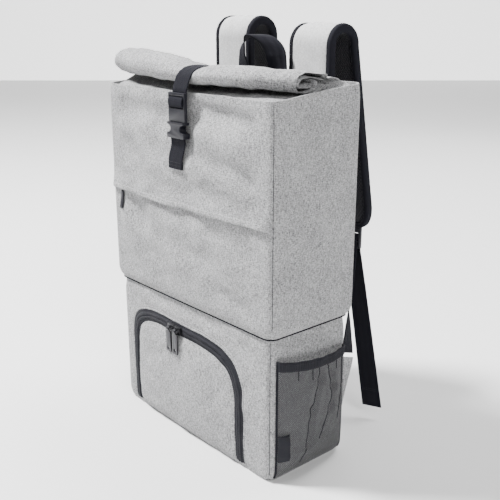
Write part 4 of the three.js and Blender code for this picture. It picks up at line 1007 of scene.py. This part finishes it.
def addCord(shape, path, radius):
    # thin round cord along a path
    way = unit(np.gradient(path, axis=0))
    across = unit(np.cross(way, unit(path * [1, 1, 0])))
    addTube(shape, ringsAround(path, np.cross(across, way), across, radius, 8))


def pocketUp(y, z):
    # height on the pocket's net as a share of its own, which sags in the middle and falls to the back
    return (z - pocketForm["bottom"]) / (pocketTop(y / pocketForm["half"]) - pocketForm["bottom"])


def pocketTop(across):
    form = pocketForm
    return mix(form["topFront"], form["topBack"], (across + 1) / 2) - form["sag"] * (1 - across ** 2)


def onPocket(side, y, up, off, folds=True):
    # point of the pocket's net: y across, up as share of its height, off outwards
    form = pocketForm
    across = np.clip(y / form["half"], -1, 1)
    z = mix(form["bottom"], pocketTop(across), up)
    bow = np.sqrt(np.maximum(0, 1 - across ** 2)) ** 0.9
    swell = bow * np.minimum(1, up / form["swellRun"]) ** 0.7 * mix(1, form["topSwell"], up)
    out = gap + off + form["puff"] * swell
    if folds:
        # folds fade out to the seams and to the elastic
        hold = np.clip((1 - across ** 2) * 3, 0, 1) * np.clip(up * 8, 0, 1) \
            * np.clip((1 - up) * 7 - 0.5, 0.03, 1)
        swell = form["swell"] * ripple(place(0, y, z), form["swellSize"], 61 + side)
        out = out + (foldAt(form["folds"], 1, y, z) + swell) * hold
    return onSide(lowerForm, side, y, z, out)


def makePocket(hand, side):
    look = {"rows": 105, "ribs": 340, "rib": 0.28, "ribPitch": 2.3, "gather": 0.12, "gatherSize": 13,
            "over": 1.006}
    form = pocketForm
    ys = form["half"] * evenOut(look["rows"])
    ups = np.linspace(0, 1, look["rows"])
    y, up = np.meshgrid(ys, ups)
    shape = newShape()
    addSheet(shape, onPocket(side, y, up, form["wall"]), onPocket(side, y, up, 0), ys, ups * 140)
    finishShape(shape, "pocketNet_" + hand, "pocketNet", ["mesh_pocket_" + hand])

    # elastic: gathered into fine ribs, rolled at its top and bottom edges
    height = form["topFront"] - form["bottom"]
    start = 1 - form["elastic"] / height
    ys = np.linspace(-form["half"], form["half"], look["ribs"])
    ups = mix(start, look["over"], np.array([0, 0.04, 0.12, 0.2, 0.35, 0.5, 0.65, 0.8, 0.88, 0.96, 1]))
    y, up = np.meshgrid(ys, ups)
    share = (up - start) / (look["over"] - start)
    rolled = np.sqrt(np.clip(1 - (2 * share - 1) ** 8, 0, 1))
    run = runLengths(onPocket(side, ys, start, 0))
    ribs = look["rib"] * np.cos(2 * math.pi * run / look["ribPitch"]) * np.sin(math.pi * share) ** 0.5
    inner = form["wall"] + gap
    low = inner + look["gather"] * ripple(place(0, y, 0), look["gatherSize"], 71 + side)
    high = low + (form["elasticThick"] + ribs) * rolled
    shape = newShape()
    addSheet(shape, onPocket(side, y, up, high), onPocket(side, y, up, low - gap), run, up * height)
    finishShape(shape, "pocketElastic_" + hand, "elasticCloth", ["pocket_elastic_" + hand])
    for edge in (0.22, 0.8):
        path = onPocket(side, ys[2:-2], mix(start, 1, edge), inner + form["elasticThick"] + 0.35)
        addStitches(darkSeams, path, [side, 0, 0], {"length": 2.2, "space": 0.8, "radius": 0.25})


def makeCreases(hand, side):
    look = {"points": 90, "blend": 25}
    shape = newShape()
    for points in pocketForm["creases"]:
        points = np.array(points, float)
        line = readAlong(np.linspace(0, 1, len(points)), points, np.linspace(0, 1, look["points"]))
        around = look["blend"] // 2
        padded = np.pad(line, ((around, around), (0, 0)), mode="edge")
        y, z = [np.convolve(padded[:, k], np.ones(look["blend"]) / look["blend"], "valid") for k in (0, 1)]
        addCord(shape, onPocket(side, y, pocketUp(y, z), pocketForm["wall"]), pocketForm["creaseSize"])
    finishShape(shape, "pocketCreases_" + hand, "bindingCloth", ())


def makePocketSeams(hand, side):
    # piping where the net is sewn in, front and back
    look = {"in": 0.2, "off": 0.6, "lean": 0.7, "radius": 1.1, "points": 90}
    for way, name in ((-1, "front"), (1, "back")):
        path = onPocket(side, way * (pocketForm["half"] - look["in"]), np.linspace(0, 1, look["points"]),
                        look["off"], folds=False)
        out = unit([side, way * look["lean"], 0])
        across = unit([-way * look["lean"] * side, 1, 0])
        shape = newShape()
        addTube(shape, ringsAround(path, out, across, look["radius"], 10))
        finishShape(shape, "pocketPiping_%s_%s" % (hand, name), "bindingCloth", ())


def makeLabel():
    form = pocketForm["label"]
    ys = np.linspace(-pocketForm["half"] + 0.3, -pocketForm["half"] + form["width"], 24)
    zs = np.linspace(form["bottom"], form["bottom"] + form["height"], 40)
    y, z = np.meshgrid(ys, zs)
    up = pocketUp(y, z)
    inner = pocketForm["wall"] + 2 * gap + form["off"] + form["swell"] * ripple(place(0, y, z), 18, 81)
    toEdge = np.minimum(np.minimum(z - zs[0], zs[-1] - z), ys[-1] - y)
    thick = form["thick"] * np.sqrt(np.clip(1 - (1 - np.clip(toEdge / form["edge"], 0, 1)) ** 2, 0.02, 1))
    shape = newShape()
    addSheet(shape, onPocket(1, y, up, inner + thick), onPocket(1, y, up, inner), ys, zs)
    finishShape(shape, "sideLabel", "labelCloth", ["side_label"], smooth=50)
    for sew in (zs[2], zs[-3]):
        up = (sew - pocketForm["bottom"]) / 142
        path = onPocket(1, ys[1:-1], up, pocketForm["wall"] + 2 * gap + form["thick"] + 0.65)
        addStitches(darkSeams, path, [1, 0, 0], {"length": 1.8, "space": 0.7, "radius": 0.22})


darkSeams = newShape()
for hand, side in hands:
    makePocket(hand, side)
    makePocketSeams(hand, side)
    makeCreases(hand, side)
makeLabel()
print("side pockets made")


# shoulder straps: face cloth, spacer net, and binding that wraps their edge

strapForm = {"width": 66, "base": 408, "riseLeft": 74, "riseRight": 66, "bend": 19, "padding": 9,
             "face": 3, "binding": 6.5, "bindingRise": 0.6, "end": 256, "endBack": 62, "topOut": 67,
             "endOut": 86, "endWidth": 30, "endRound": 30, "settle": 0.125, "rim": 422, "bodyHalf": 65}


def strapRun(side):
    form = strapForm
    top = form["rim"] + (form["riseLeft"] if side < 0 else form["riseRight"])
    startY = form["bodyHalf"] + gap + form["padding"] / 2 + form["bindingRise"]
    rise = top - form["bend"] - form["base"]
    bend = math.pi * form["bend"]
    endY = form["bodyHalf"] + form["endBack"]
    bendY = startY + 2 * form["bend"]
    drop = math.hypot(endY - bendY, top - form["bend"] - form["end"])
    return {"side": side, "top": top, "startY": startY, "bendY": bendY, "endY": endY, "rise": rise,
            "bend": bend, "drop": drop, "length": rise + bend + drop}


def onStrap(run, s, w, n):
    # s along the strap, w across it, n out of its face
    s, w, n = np.broadcast_arrays(*(np.asarray(v, float) for v in (s, w, n)))
    form = strapForm
    rise, bend, drop, top = run["rise"], run["bend"], run["drop"], run["top"]
    out = mix(form["topOut"], form["endOut"], np.maximum(0, (s - rise - bend) / drop))
    x = run["side"] * out + w
    turn = math.pi * (1 - np.clip((s - rise) / bend, 0, 1))
    reach = form["bend"] + n
    bendPoint = (run["startY"] + form["bend"] + reach * np.cos(turn),
                 top - form["bend"] + reach * np.sin(turn))
    down = np.clip((s - rise - bend) / drop, 0, 1.02)
    settle = np.clip(down / form["settle"], 0, 1)
    tiltY = (top - form["bend"] - form["end"]) / drop
    tiltZ = (run["endY"] - run["bendY"]) / drop
    ease = settle ** 2 * (3 - 2 * settle)
    dropPoint = (mix(run["bendY"], run["endY"], down) + n * mix(1, tiltY, ease),
                 mix(top - form["bend"], form["end"], down) + n * tiltZ * ease)
    y = np.where(s <= rise, run["startY"] - n, np.where(s <= rise + bend, bendPoint[0], dropPoint[0]))
    z = np.where(s <= rise, form["base"] + s, np.where(s <= rise + bend, bendPoint[1], dropPoint[1]))
    return np.stack([x, y, z], -1)


def strapEdges(run, inset, count=110):
    # the strap's half width along it, set in by the inset; the end closes with round corners
    form = strapForm
    length = run["length"]
    half = form["width"] / 2
    roundFrom = length - form["endRound"]
    straight = np.linspace(0, roundFrom, count)
    angles = np.linspace(0, math.pi / 2, 22)[1:]
    narrow = half - form["endWidth"] / 2
    s = np.concatenate([straight, roundFrom + form["endRound"] * np.sin(angles)])
    halves = np.concatenate([np.full(count, half), half - narrow * (1 - np.cos(angles))])
    along = unit(np.stack([np.gradient(s), np.gradient(halves)], 1))
    square = np.clip((s - (length - 1.5)) / 1.5, 0, 1)
    inS = s - inset * np.where(s > roundFrom, -along[:, 1], 0) * (1 - square) - inset * square
    inHalf = halves - inset * along[:, 0] * (1 - square) - inset * 0.4 * square
    return inS, inHalf


def makeStrap(hand, side):
    look = {"swell": 0.5, "swellSize": 60, "fine": 0.25, "fineSize": 22, "pleat": 0.35, "pleatRun": 2.6,
            "bendRun": 26, "facePuff": 1.3, "netPuff": 0.9, "netShare": 0.6, "tuck": 0.5, "pucker": 0.03}
    form = strapForm
    run = strapRun(side)
    halfPad = form["padding"] / 2
    s, half = strapEdges(run, form["binding"] + gap)
    shares = evenOut(25)
    sGrid = np.broadcast_to(s[:, None], (len(s), len(shares)))
    wGrid = half[:, None] * shares
    flatPlace = place(wGrid, sGrid, 0)
    inBend = np.exp(-((sGrid - run["rise"] - run["bend"] / 2) / look["bendRun"]) ** 2)
    wrinkle = look["swell"] * ripple(flatPlace, look["swellSize"], 91 + side) \
        + look["fine"] * ripple(flatPlace, look["fineSize"], 93 + side) \
        + look["pleat"] * inBend * np.sin(sGrid / look["pleatRun"])
    crown = 1 - shares ** 4
    tuck = look["tuck"] * (1 - crown)
    inside = halfPad - form["face"]
    top = halfPad + (look["facePuff"] + wrinkle) * crown - tuck
    low = -halfPad - (look["netPuff"] + look["netShare"] * wrinkle) * crown + tuck
    for name, node, finish, slot, outer, inner in (
            ("strapFace_", "strap_face_", "strapCloth", "grey_fabric", top, inside),
            ("strapNet_", "strap_mesh_", "spacerNet", "spacer_mesh", low, inside - gap)):
        shape = newShape()
        addSheet(shape, onStrap(run, sGrid, wGrid, outer), onStrap(run, sGrid, wGrid, inner), wGrid, s)
        finishShape(shape, name + hand, finish, [node + hand])

    # binding: a rounded fold round the edge, from the face to the net
    outS, outHalf = strapEdges(run, 0)
    inS, inHalf = strapEdges(run, form["binding"])
    high = halfPad + form["bindingRise"]
    corner = np.linspace(0, math.pi / 2, 6)
    section = [(0.0, 0.82), (0.0, 0.9), (0.06, 0.98)]
    section += [(mix(0.55, 1, math.sin(a)), mix(0.45, 1, math.cos(a))) for a in corner]
    section += [(across, -up) for across, up in section[::-1]]
    section = np.array(section)
    loopS = np.concatenate([outS, outS[::-1]]), np.concatenate([inS, inS[::-1]])
    loopW = np.concatenate([-outHalf, outHalf[::-1]]), np.concatenate([-inHalf, inHalf[::-1]])
    puckers = 1 + look["pucker"] * np.sin(np.arange(len(loopS[0])) * 2.1)

    def onBinding(across, up):
        return onStrap(run, mix(loopS[1], loopS[0], across), mix(loopW[1], loopW[0], across), up)

    shape = newShape()
    addTube(shape, np.stack([onBinding(across, high * up * puckers) for across, up in section], 1))
    finishShape(shape, "strapBinding_" + hand, "bindingCloth", ["strap_binding_" + hand])
    for face in (1, -1):
        path, over = (onBinding(0.2, face * (high + away)) for away in (0.05, 1.05))
        addStitches(darkSeams, path, over - path, stitchLook)


for hand, side in hands:
    makeStrap(hand, side)
print("straps made")


# webbing: woven tape through stations (middle point, way across), its bends rounded

webbingSize = {"width": 25, "thick": 1.6, "step": 1.2, "wave": 0.12, "waveSize": 17}


def roundedRoute(points, times=3):
    # corners of a polyline cut again and again, its ends kept
    points = np.asarray(points, float)
    for _ in range(times):
        a, b = points[:-1], points[1:]
        cut = np.stack([mix(a, b, 0.25), mix(a, b, 0.75)], 1).reshape(-1, points.shape[1])
        points = np.vstack([points[:1], cut[1:-1], points[-1:]])
    return points


def spaced(points, step):
    run = runLengths(points[:, :3])
    return readAlong(run, points, np.linspace(0, run[-1], max(3, int(run[-1] / step))))


def makeWebbing(name, stations, node, times=2):
    # stations: pairs of a place and the way across; times: how often the corners are cut
    stations = np.array([[*at, *across] for at, across in stations], float)
    route = spaced(roundedRoute(stations, times), webbingSize["step"])
    path, across = route[:, :3], unit(route[:, 3:])
    normal = unit(np.cross(unit(np.gradient(path, axis=0)), across))
    half, thick = webbingSize["width"] / 2, webbingSize["thick"] / 2
    wide = np.concatenate([[-1, -0.995], np.linspace(-0.97, 0.97, 15), [0.995, 1]])
    lift = thick * np.where(np.abs(wide) > 0.98, np.where(np.abs(wide) > 0.999, 0.25, 0.75), 1)
    wave = webbingSize["wave"] * ripple(path, webbingSize["waveSize"], 101)[:, None]
    middle = path[:, None] + across[:, None] * (half * wide)[:, None]
    faces = [middle + normal[:, None] * (turn * lift + wave)[..., None] for turn in (1, -1)]
    shape = newShape()
    addSheet(shape, *faces, half * wide, runLengths(path))
    finishShape(shape, name, "webbingCloth", [node])
    return route, normal


def addHem(route, normal, at, side=1, half=11.5):
    # stitch row across webbing, at a length from its start, or back from its end where at is below 0
    run = runLengths(route[:, :3])
    at = at + run[-1] if at < 0 else at
    spot = readAlong(run, route, at)
    out = unit(readAlong(run, normal, at)) * side
    path = spot[:3] + unit(spot[3:]) * half * np.linspace(-1, 1, 40)[:, None] \
        + out * (webbingSize["thick"] / 2 + 0.05)
    addStitches(darkSeams, path, out, {"length": 2.0, "space": 0.8, "radius": 0.26})


# closure strap: behind and up are its places over the roof and roll, then through the slide
strapLine = 10
buckle = {"y": -74.9, "thick": 4, "upperSlot": 417.4, "lowerSlot": 407.2, "tail": 12, "socketBottom": 373.7}


def makeClosureStrap():
    over = table("behind up", [
        (53, 433.7), (28.4, 438), (-4.5, 443.5), (-10.5, 444.2), (-24, 447), (-34, 448.4), (-42.5, 448.8),
        (-49.5, 448.2), (-55.8, 446.6), (-61.5, 443.4), (-65.6, 439.2), (-68, 434), (-70, 429)])
    off = buckle["thick"] / 2 + gap + webbingSize["thick"] / 2
    y = buckle["y"]
    upper, lower = buckle["upperSlot"], buckle["lowerSlot"]
    threaded = [(y + off, 424.4), (y + off, 420), (y + off, upper), (y - off, upper), (y - off, lower),
                (y + off, lower), (y + off, lower - buckle["tail"])]
    places = list(zip(over["behind"], over["up"])) + threaded
    stations = [((strapLine, behind, up), (1, 0, 0)) for behind, up in places]
    route, normal = makeWebbing("closureStrap", stations, "closure_strap")
    addHem(route, normal, 5, side=-1)


def makeAnchor():
    look = {"bottom": 338.5, "lean": 8, "off": 1.5}
    top, y, forward = buckle["socketBottom"], buckle["y"], (1, 0, 0)
    stations = [((strapLine, y + off, top + up), forward) for off, up in ((0, 5.2), (-0.6, -1), (0.4, -8))]
    for down in (0.55, 0.7, 0.85, 1.0):
        x, z = strapLine - look["lean"] * down, mix(top, look["bottom"], down)
        out = min(onFront(upperForm, x + k, z)[1] for k in (-12, -6, 0, 6, 12))
        stations.append(((x, out - look["off"], z), forward))
    route, normal = makeWebbing("anchorWebbing", stations, "anchor_webbing", times=3)
    for back in (4, 8):
        addHem(route, normal, -back, side=1 if normal[-1][1] < 0 else -1)


def makeHandle():
    form = {"span": 60, "centre": -2, "back": 58, "foot": 432.4, "top": 480, "arch": 0.8, "twist": 0.7,
            "legTwist": 0.85}
    half = form["span"] / 2

    def station(x, z, turn):
        angle = math.radians(90 * turn)
        lean = webbingSize["width"] / 2 * math.cos(angle)
        return (form["centre"] + x, form["back"] - lean, z), (math.sin(angle), math.cos(angle), 0)

    legTop = form["top"] - half * form["arch"]
    middle = mix(form["foot"], legTop, 0.5)
    stations = [station(-half, form["foot"], -1), station(-half, middle, -form["legTwist"])]
    for turn in np.linspace(math.pi, 0, 15):
        stations.append(station(half * math.cos(turn), legTop + (form["top"] - legTop) * math.sin(turn),
                                form["twist"] * math.cos(turn)))
    stations += [station(half, middle, form["legTwist"]), station(half, form["foot"], 1)]
    route, normal = makeWebbing("grabHandle", stations, "grab_handle")
    for at in (3, 7, -7, -3):
        for side in (-1, 1):
            addHem(route, normal, at, side)


# wing tabs, and the webbing that runs from them through the ladder-locks to the free tails

tabForm = {"top": 119, "bottom": 48, "reach": 26, "drop": 10, "thick": 3, "seamInset": 4, "turn": 100,
           "puff": 0.9, "puffRun": 4, "tuck": 1.1, "tuckRun": 0.7, "swell": 0.25, "swellSize": 16, "hem": 3.5}


def tabPlace(side):
    turn = math.radians(tabForm["turn"])
    seamX = lowerForm["width"] / 2 - tabForm["seamInset"]
    radius = lowerForm["radius"]
    into = seamX - tabForm["thick"] - (lowerForm["width"] / 2 - radius)
    seamY = lowerForm["depth"] / 2 - radius + math.sqrt(radius ** 2 - into ** 2) + gap
    out = np.array([side * math.cos(turn), math.sin(turn), 0])
    normal = np.array([side * math.sin(turn), -math.cos(turn), 0])
    return np.array([side * seamX, seamY, 0]), out, normal


def makeTab(hand, side):
    seam, out, normal = tabPlace(side)
    form = tabForm
    ups, ins = np.meshgrid(np.linspace(0.03, 1, 36), np.linspace(0, 1, 22), indexing="ij")
    reach = form["reach"] * ups * ins
    z = mix(form["bottom"], mix(form["top"], form["top"] - form["drop"], ins), ups)
    toEdge = np.minimum(np.minimum(reach + 1.5, (1 - ins) * form["reach"] * ups), (1 - ups) * 60)
    puff = form["puff"] * (1 - np.exp(-toEdge / form["puffRun"])) \
        - form["tuck"] * np.exp(-toEdge / form["tuckRun"])
    middle = seam + out * reach[..., None] + upwards * z[..., None]
    puff = puff + form["swell"] * ripple(middle, form["swellSize"], 111)
    shape = newShape()
    addSheet(shape, middle + normal * puff[..., None], middle - normal * (form["thick"] + puff)[..., None])
    finishShape(shape, "wingTab_" + hand, "bodyCloth", ["wing_tab_" + hand])
    share = np.linspace(0.12, 0.97, 50)
    path = seam + out * (form["reach"] * share - form["hem"])[:, None] \
        + upwards * mix(form["bottom"], form["top"] - form["drop"], share)[:, None]
    for face in (1, -1):
        away = 0.75 if face > 0 else -(form["thick"] + 0.75)
        addStitches(seamThread, path + normal * away, normal * face, stitchLook)


lock = {"height": 27, "thick": 4, "bar": 5, "slot": 3.4, "out": 86, "back": 127, "end": 256}
tail = {"out": 123, "back": 139, "up": 18, "turn": 24, "driftX": 1.6, "driftY": -1.4}      # free ends


def makeStrapWebbing(hand, side):
    seam, out, normal = tabPlace(side)
    form = tabForm
    centre = np.array([side * lock["out"], lock["back"], lock["end"] - gap - lock["height"] / 2])
    edgeMiddle = seam + out * form["reach"] / 2 + upwards * (form["top"] - form["drop"] / 2)
    edgeWay = unit(out * form["reach"] - upwards * form["drop"])
    off = lock["thick"] / 2 + gap + webbingSize["thick"] / 2
    slotZ, halfLock = (lock["bar"] + lock["slot"]) / 2, lock["height"] / 2
    acrossX = np.array([-side, 0, 0])
    bottom = edgeMiddle - normal * form["thick"] / 2 + upwards * (gap + form["drop"] / 2)
    under = centre + [0, -off, -halfLock - lock["bar"]]
    stations = []
    for share in np.arange(8) / 8:
        bow = math.sin(math.pi * share) * np.array([0, 0.8, 0])
        stations.append((mix(bottom, under, share) + bow, unit(mix(edgeWay, acrossX, share))))
    stations.append((under, acrossX))
    stations += [(centre + at, acrossX) for at in ([0, -off, slotZ], [0, off, slotZ], [0, off, -halfLock])]
    tailTop = centre + [0, off, -halfLock]
    tailEnd = np.array([side * tail["out"], tail["back"], tail["up"]])
    for share in np.linspace(0, 1, 13)[1:]:
        drift = np.array([side * tail["driftX"], tail["driftY"], 0]) * math.sin(math.pi * share * 1.6)
        turn = math.radians(tail["turn"]) * share
        stations.append((mix(tailTop, tailEnd, share) + drift, [-side * math.cos(turn), -math.sin(turn), 0]))
    route, normalRow = makeWebbing("strapWebbing_" + hand, stations, "strap_webbing_" + hand)
    for back in (22, 24.5):
        for face in (-1, 1):
            addHem(route, normalRow, -back, face)


makeClosureStrap()
makeAnchor()
makeHandle()
for hand, side in hands:
    makeTab(hand, side)
    makeStrapWebbing(hand, side)
    roundedCopy("strap_lock_" + hand, "strapLock_" + hand, "blackPlastic", edge=0.8)
roundedCopy("buckle_slide", "buckleSlide", "blackPlastic", edge=0.8)
roundedCopy("buckle_socket", "buckleSocket", "blackPlastic", edge=1.0)


def makeSeamsAndShadowLines():
    # dark seams down the corners; the seam between the two compartments, marked by a dark cord that is
    # painted shadow of its groove; and a dark cord just under the upper body's lower edge, painted shadow of
    # its overhang
    look = {"corner": 0.55, "between": 1.3, "lift": 0.1, "edge": 0.9, "drop": 0.5, "sink": 0.2}
    shape = newShape()
    mid = math.cos(math.pi / 4) ** cornerPower
    for form, low, high in ((upperForm, 0.05, 0.99), (lowerForm, 0.05, 0.97)):
        levels = np.linspace(low, high, 70)
        for sx in (-1, 1):
            for sy in (-1, 1):
                path = skin(form, sx, sy, sx * mid, sy * mid, 3, levels)
                path = path - np.array([sx, sy, 0]) * look["sink"]
                addCord(shape, path, look["corner"])
    # painted shadow: a dark cord in the groove at the top of the lower body
    around = closed(skin(lowerForm, *bodyRing, 1.0))
    addCord(shape, around + [0, 0, look["lift"]], look["between"])
    # painted shadow: a dark cord just under the upper body's lower edge
    edge = closed(skin(upperForm, *bodyRing, 0.0))
    addCord(shape, edge - [0, 0, look["drop"]], look["edge"])
    finishShape(shape, "bodySeamsAndShadowLines", "bindingCloth", ())


makeSeamsAndShadowLines()
finishShape(seamThread, "seamStitches", "thread", ())
finishShape(darkSeams, "trimStitches", "darkThread", ())
print("webbing and buckles made")


# camera, light and floor

def aim(thing, target):
    way = Vector(target) - thing.location
    thing.rotation_euler = way.to_track_quat("-Z", "Y").to_euler()


def makeCamera():
    # worked out from the photo: yaw 49 degrees, pitch 17 degrees, 55 mm lens
    data = bpy.data.cameras.new("photoCamera")
    data.lens = 55.0
    data.sensor_width = 36
    camera = newPiece("photoCamera", data)
    camera.location = Vector((687.4, -560.5, 500.0)) * mm
    aim(camera, Vector((18.4, 21.1, 229.0)) * mm)
    bpy.context.scene.camera = camera


def makeLights():
    lights = {
        "key": {"at": (-1.3, -1.15, 3.0), "size": 0.6, "power": 400},
        "fill": {"at": (2.4, -0.8, 1.9), "size": 1.2, "power": 60},
        "top": {"at": (0.3, 0.9, 2.6), "size": 0.9, "power": 40},
        "back": {"at": (-0.6, 2.2, 1.4), "size": 1.5, "power": 16},
    }
    for name, look in lights.items():
        data = bpy.data.lights.new(name, "AREA")
        data.shape = "DISK"
        data.size = look["size"]
        data.energy = look["power"]
        light = newPiece(name, data)
        light.location = look["at"]
        aim(light, (0, 0, 0.22))


def makeSheet(name, corners, grey, rough, glow=0.0):
    # flat sheet of the studio
    mesh = bpy.data.meshes.new(name)
    mesh.from_pydata([tuple(corner) for corner in corners], [], [(0, 1, 2, 3)])
    material = bpy.data.materials.new(name + "Paint")
    material.use_nodes = True
    shader = material.node_tree.nodes["Principled BSDF"]
    shader.inputs["Base Color"].default_value = (grey, grey, grey, 1)
    shader.inputs["Emission Color"].default_value = (1, 1, 1, 1)
    shader.inputs["Emission Strength"].default_value = glow
    shader.inputs["Roughness"].default_value = rough
    mesh.materials.append(material)
    newPiece(name, mesh)


def makeStudio():
    # pale floor, and a bright sheet far behind the object, square to the photo's view
    half, away, wide, low, high = 6, 5.5, 7, -0.5, 7
    makeSheet("floor", [(-half, -half, 0), (half, -half, 0), (half, half, 0), (-half, half, 0)], 0.8, 0.9)
    way = Vector((-0.723, 0.629, 0)).normalized()
    side = Vector((way.y, -way.x, 0))
    makeSheet("backdrop", [way * away + side * across * wide + Vector((0, 0, z))
                           for across, z in ((-1, low), (1, low), (1, high), (-1, high))], 0.9, 0.5, glow=1.6)


def makeWorld():
    world = bpy.data.worlds.new("studio")
    world.use_nodes = True
    background = world.node_tree.nodes["Background"]
    background.inputs["Color"].default_value = (1, 1, 1, 1)
    background.inputs["Strength"].default_value = 0.1
    bpy.context.scene.world = world


makeCamera()
makeLights()
makeStudio()
makeWorld()
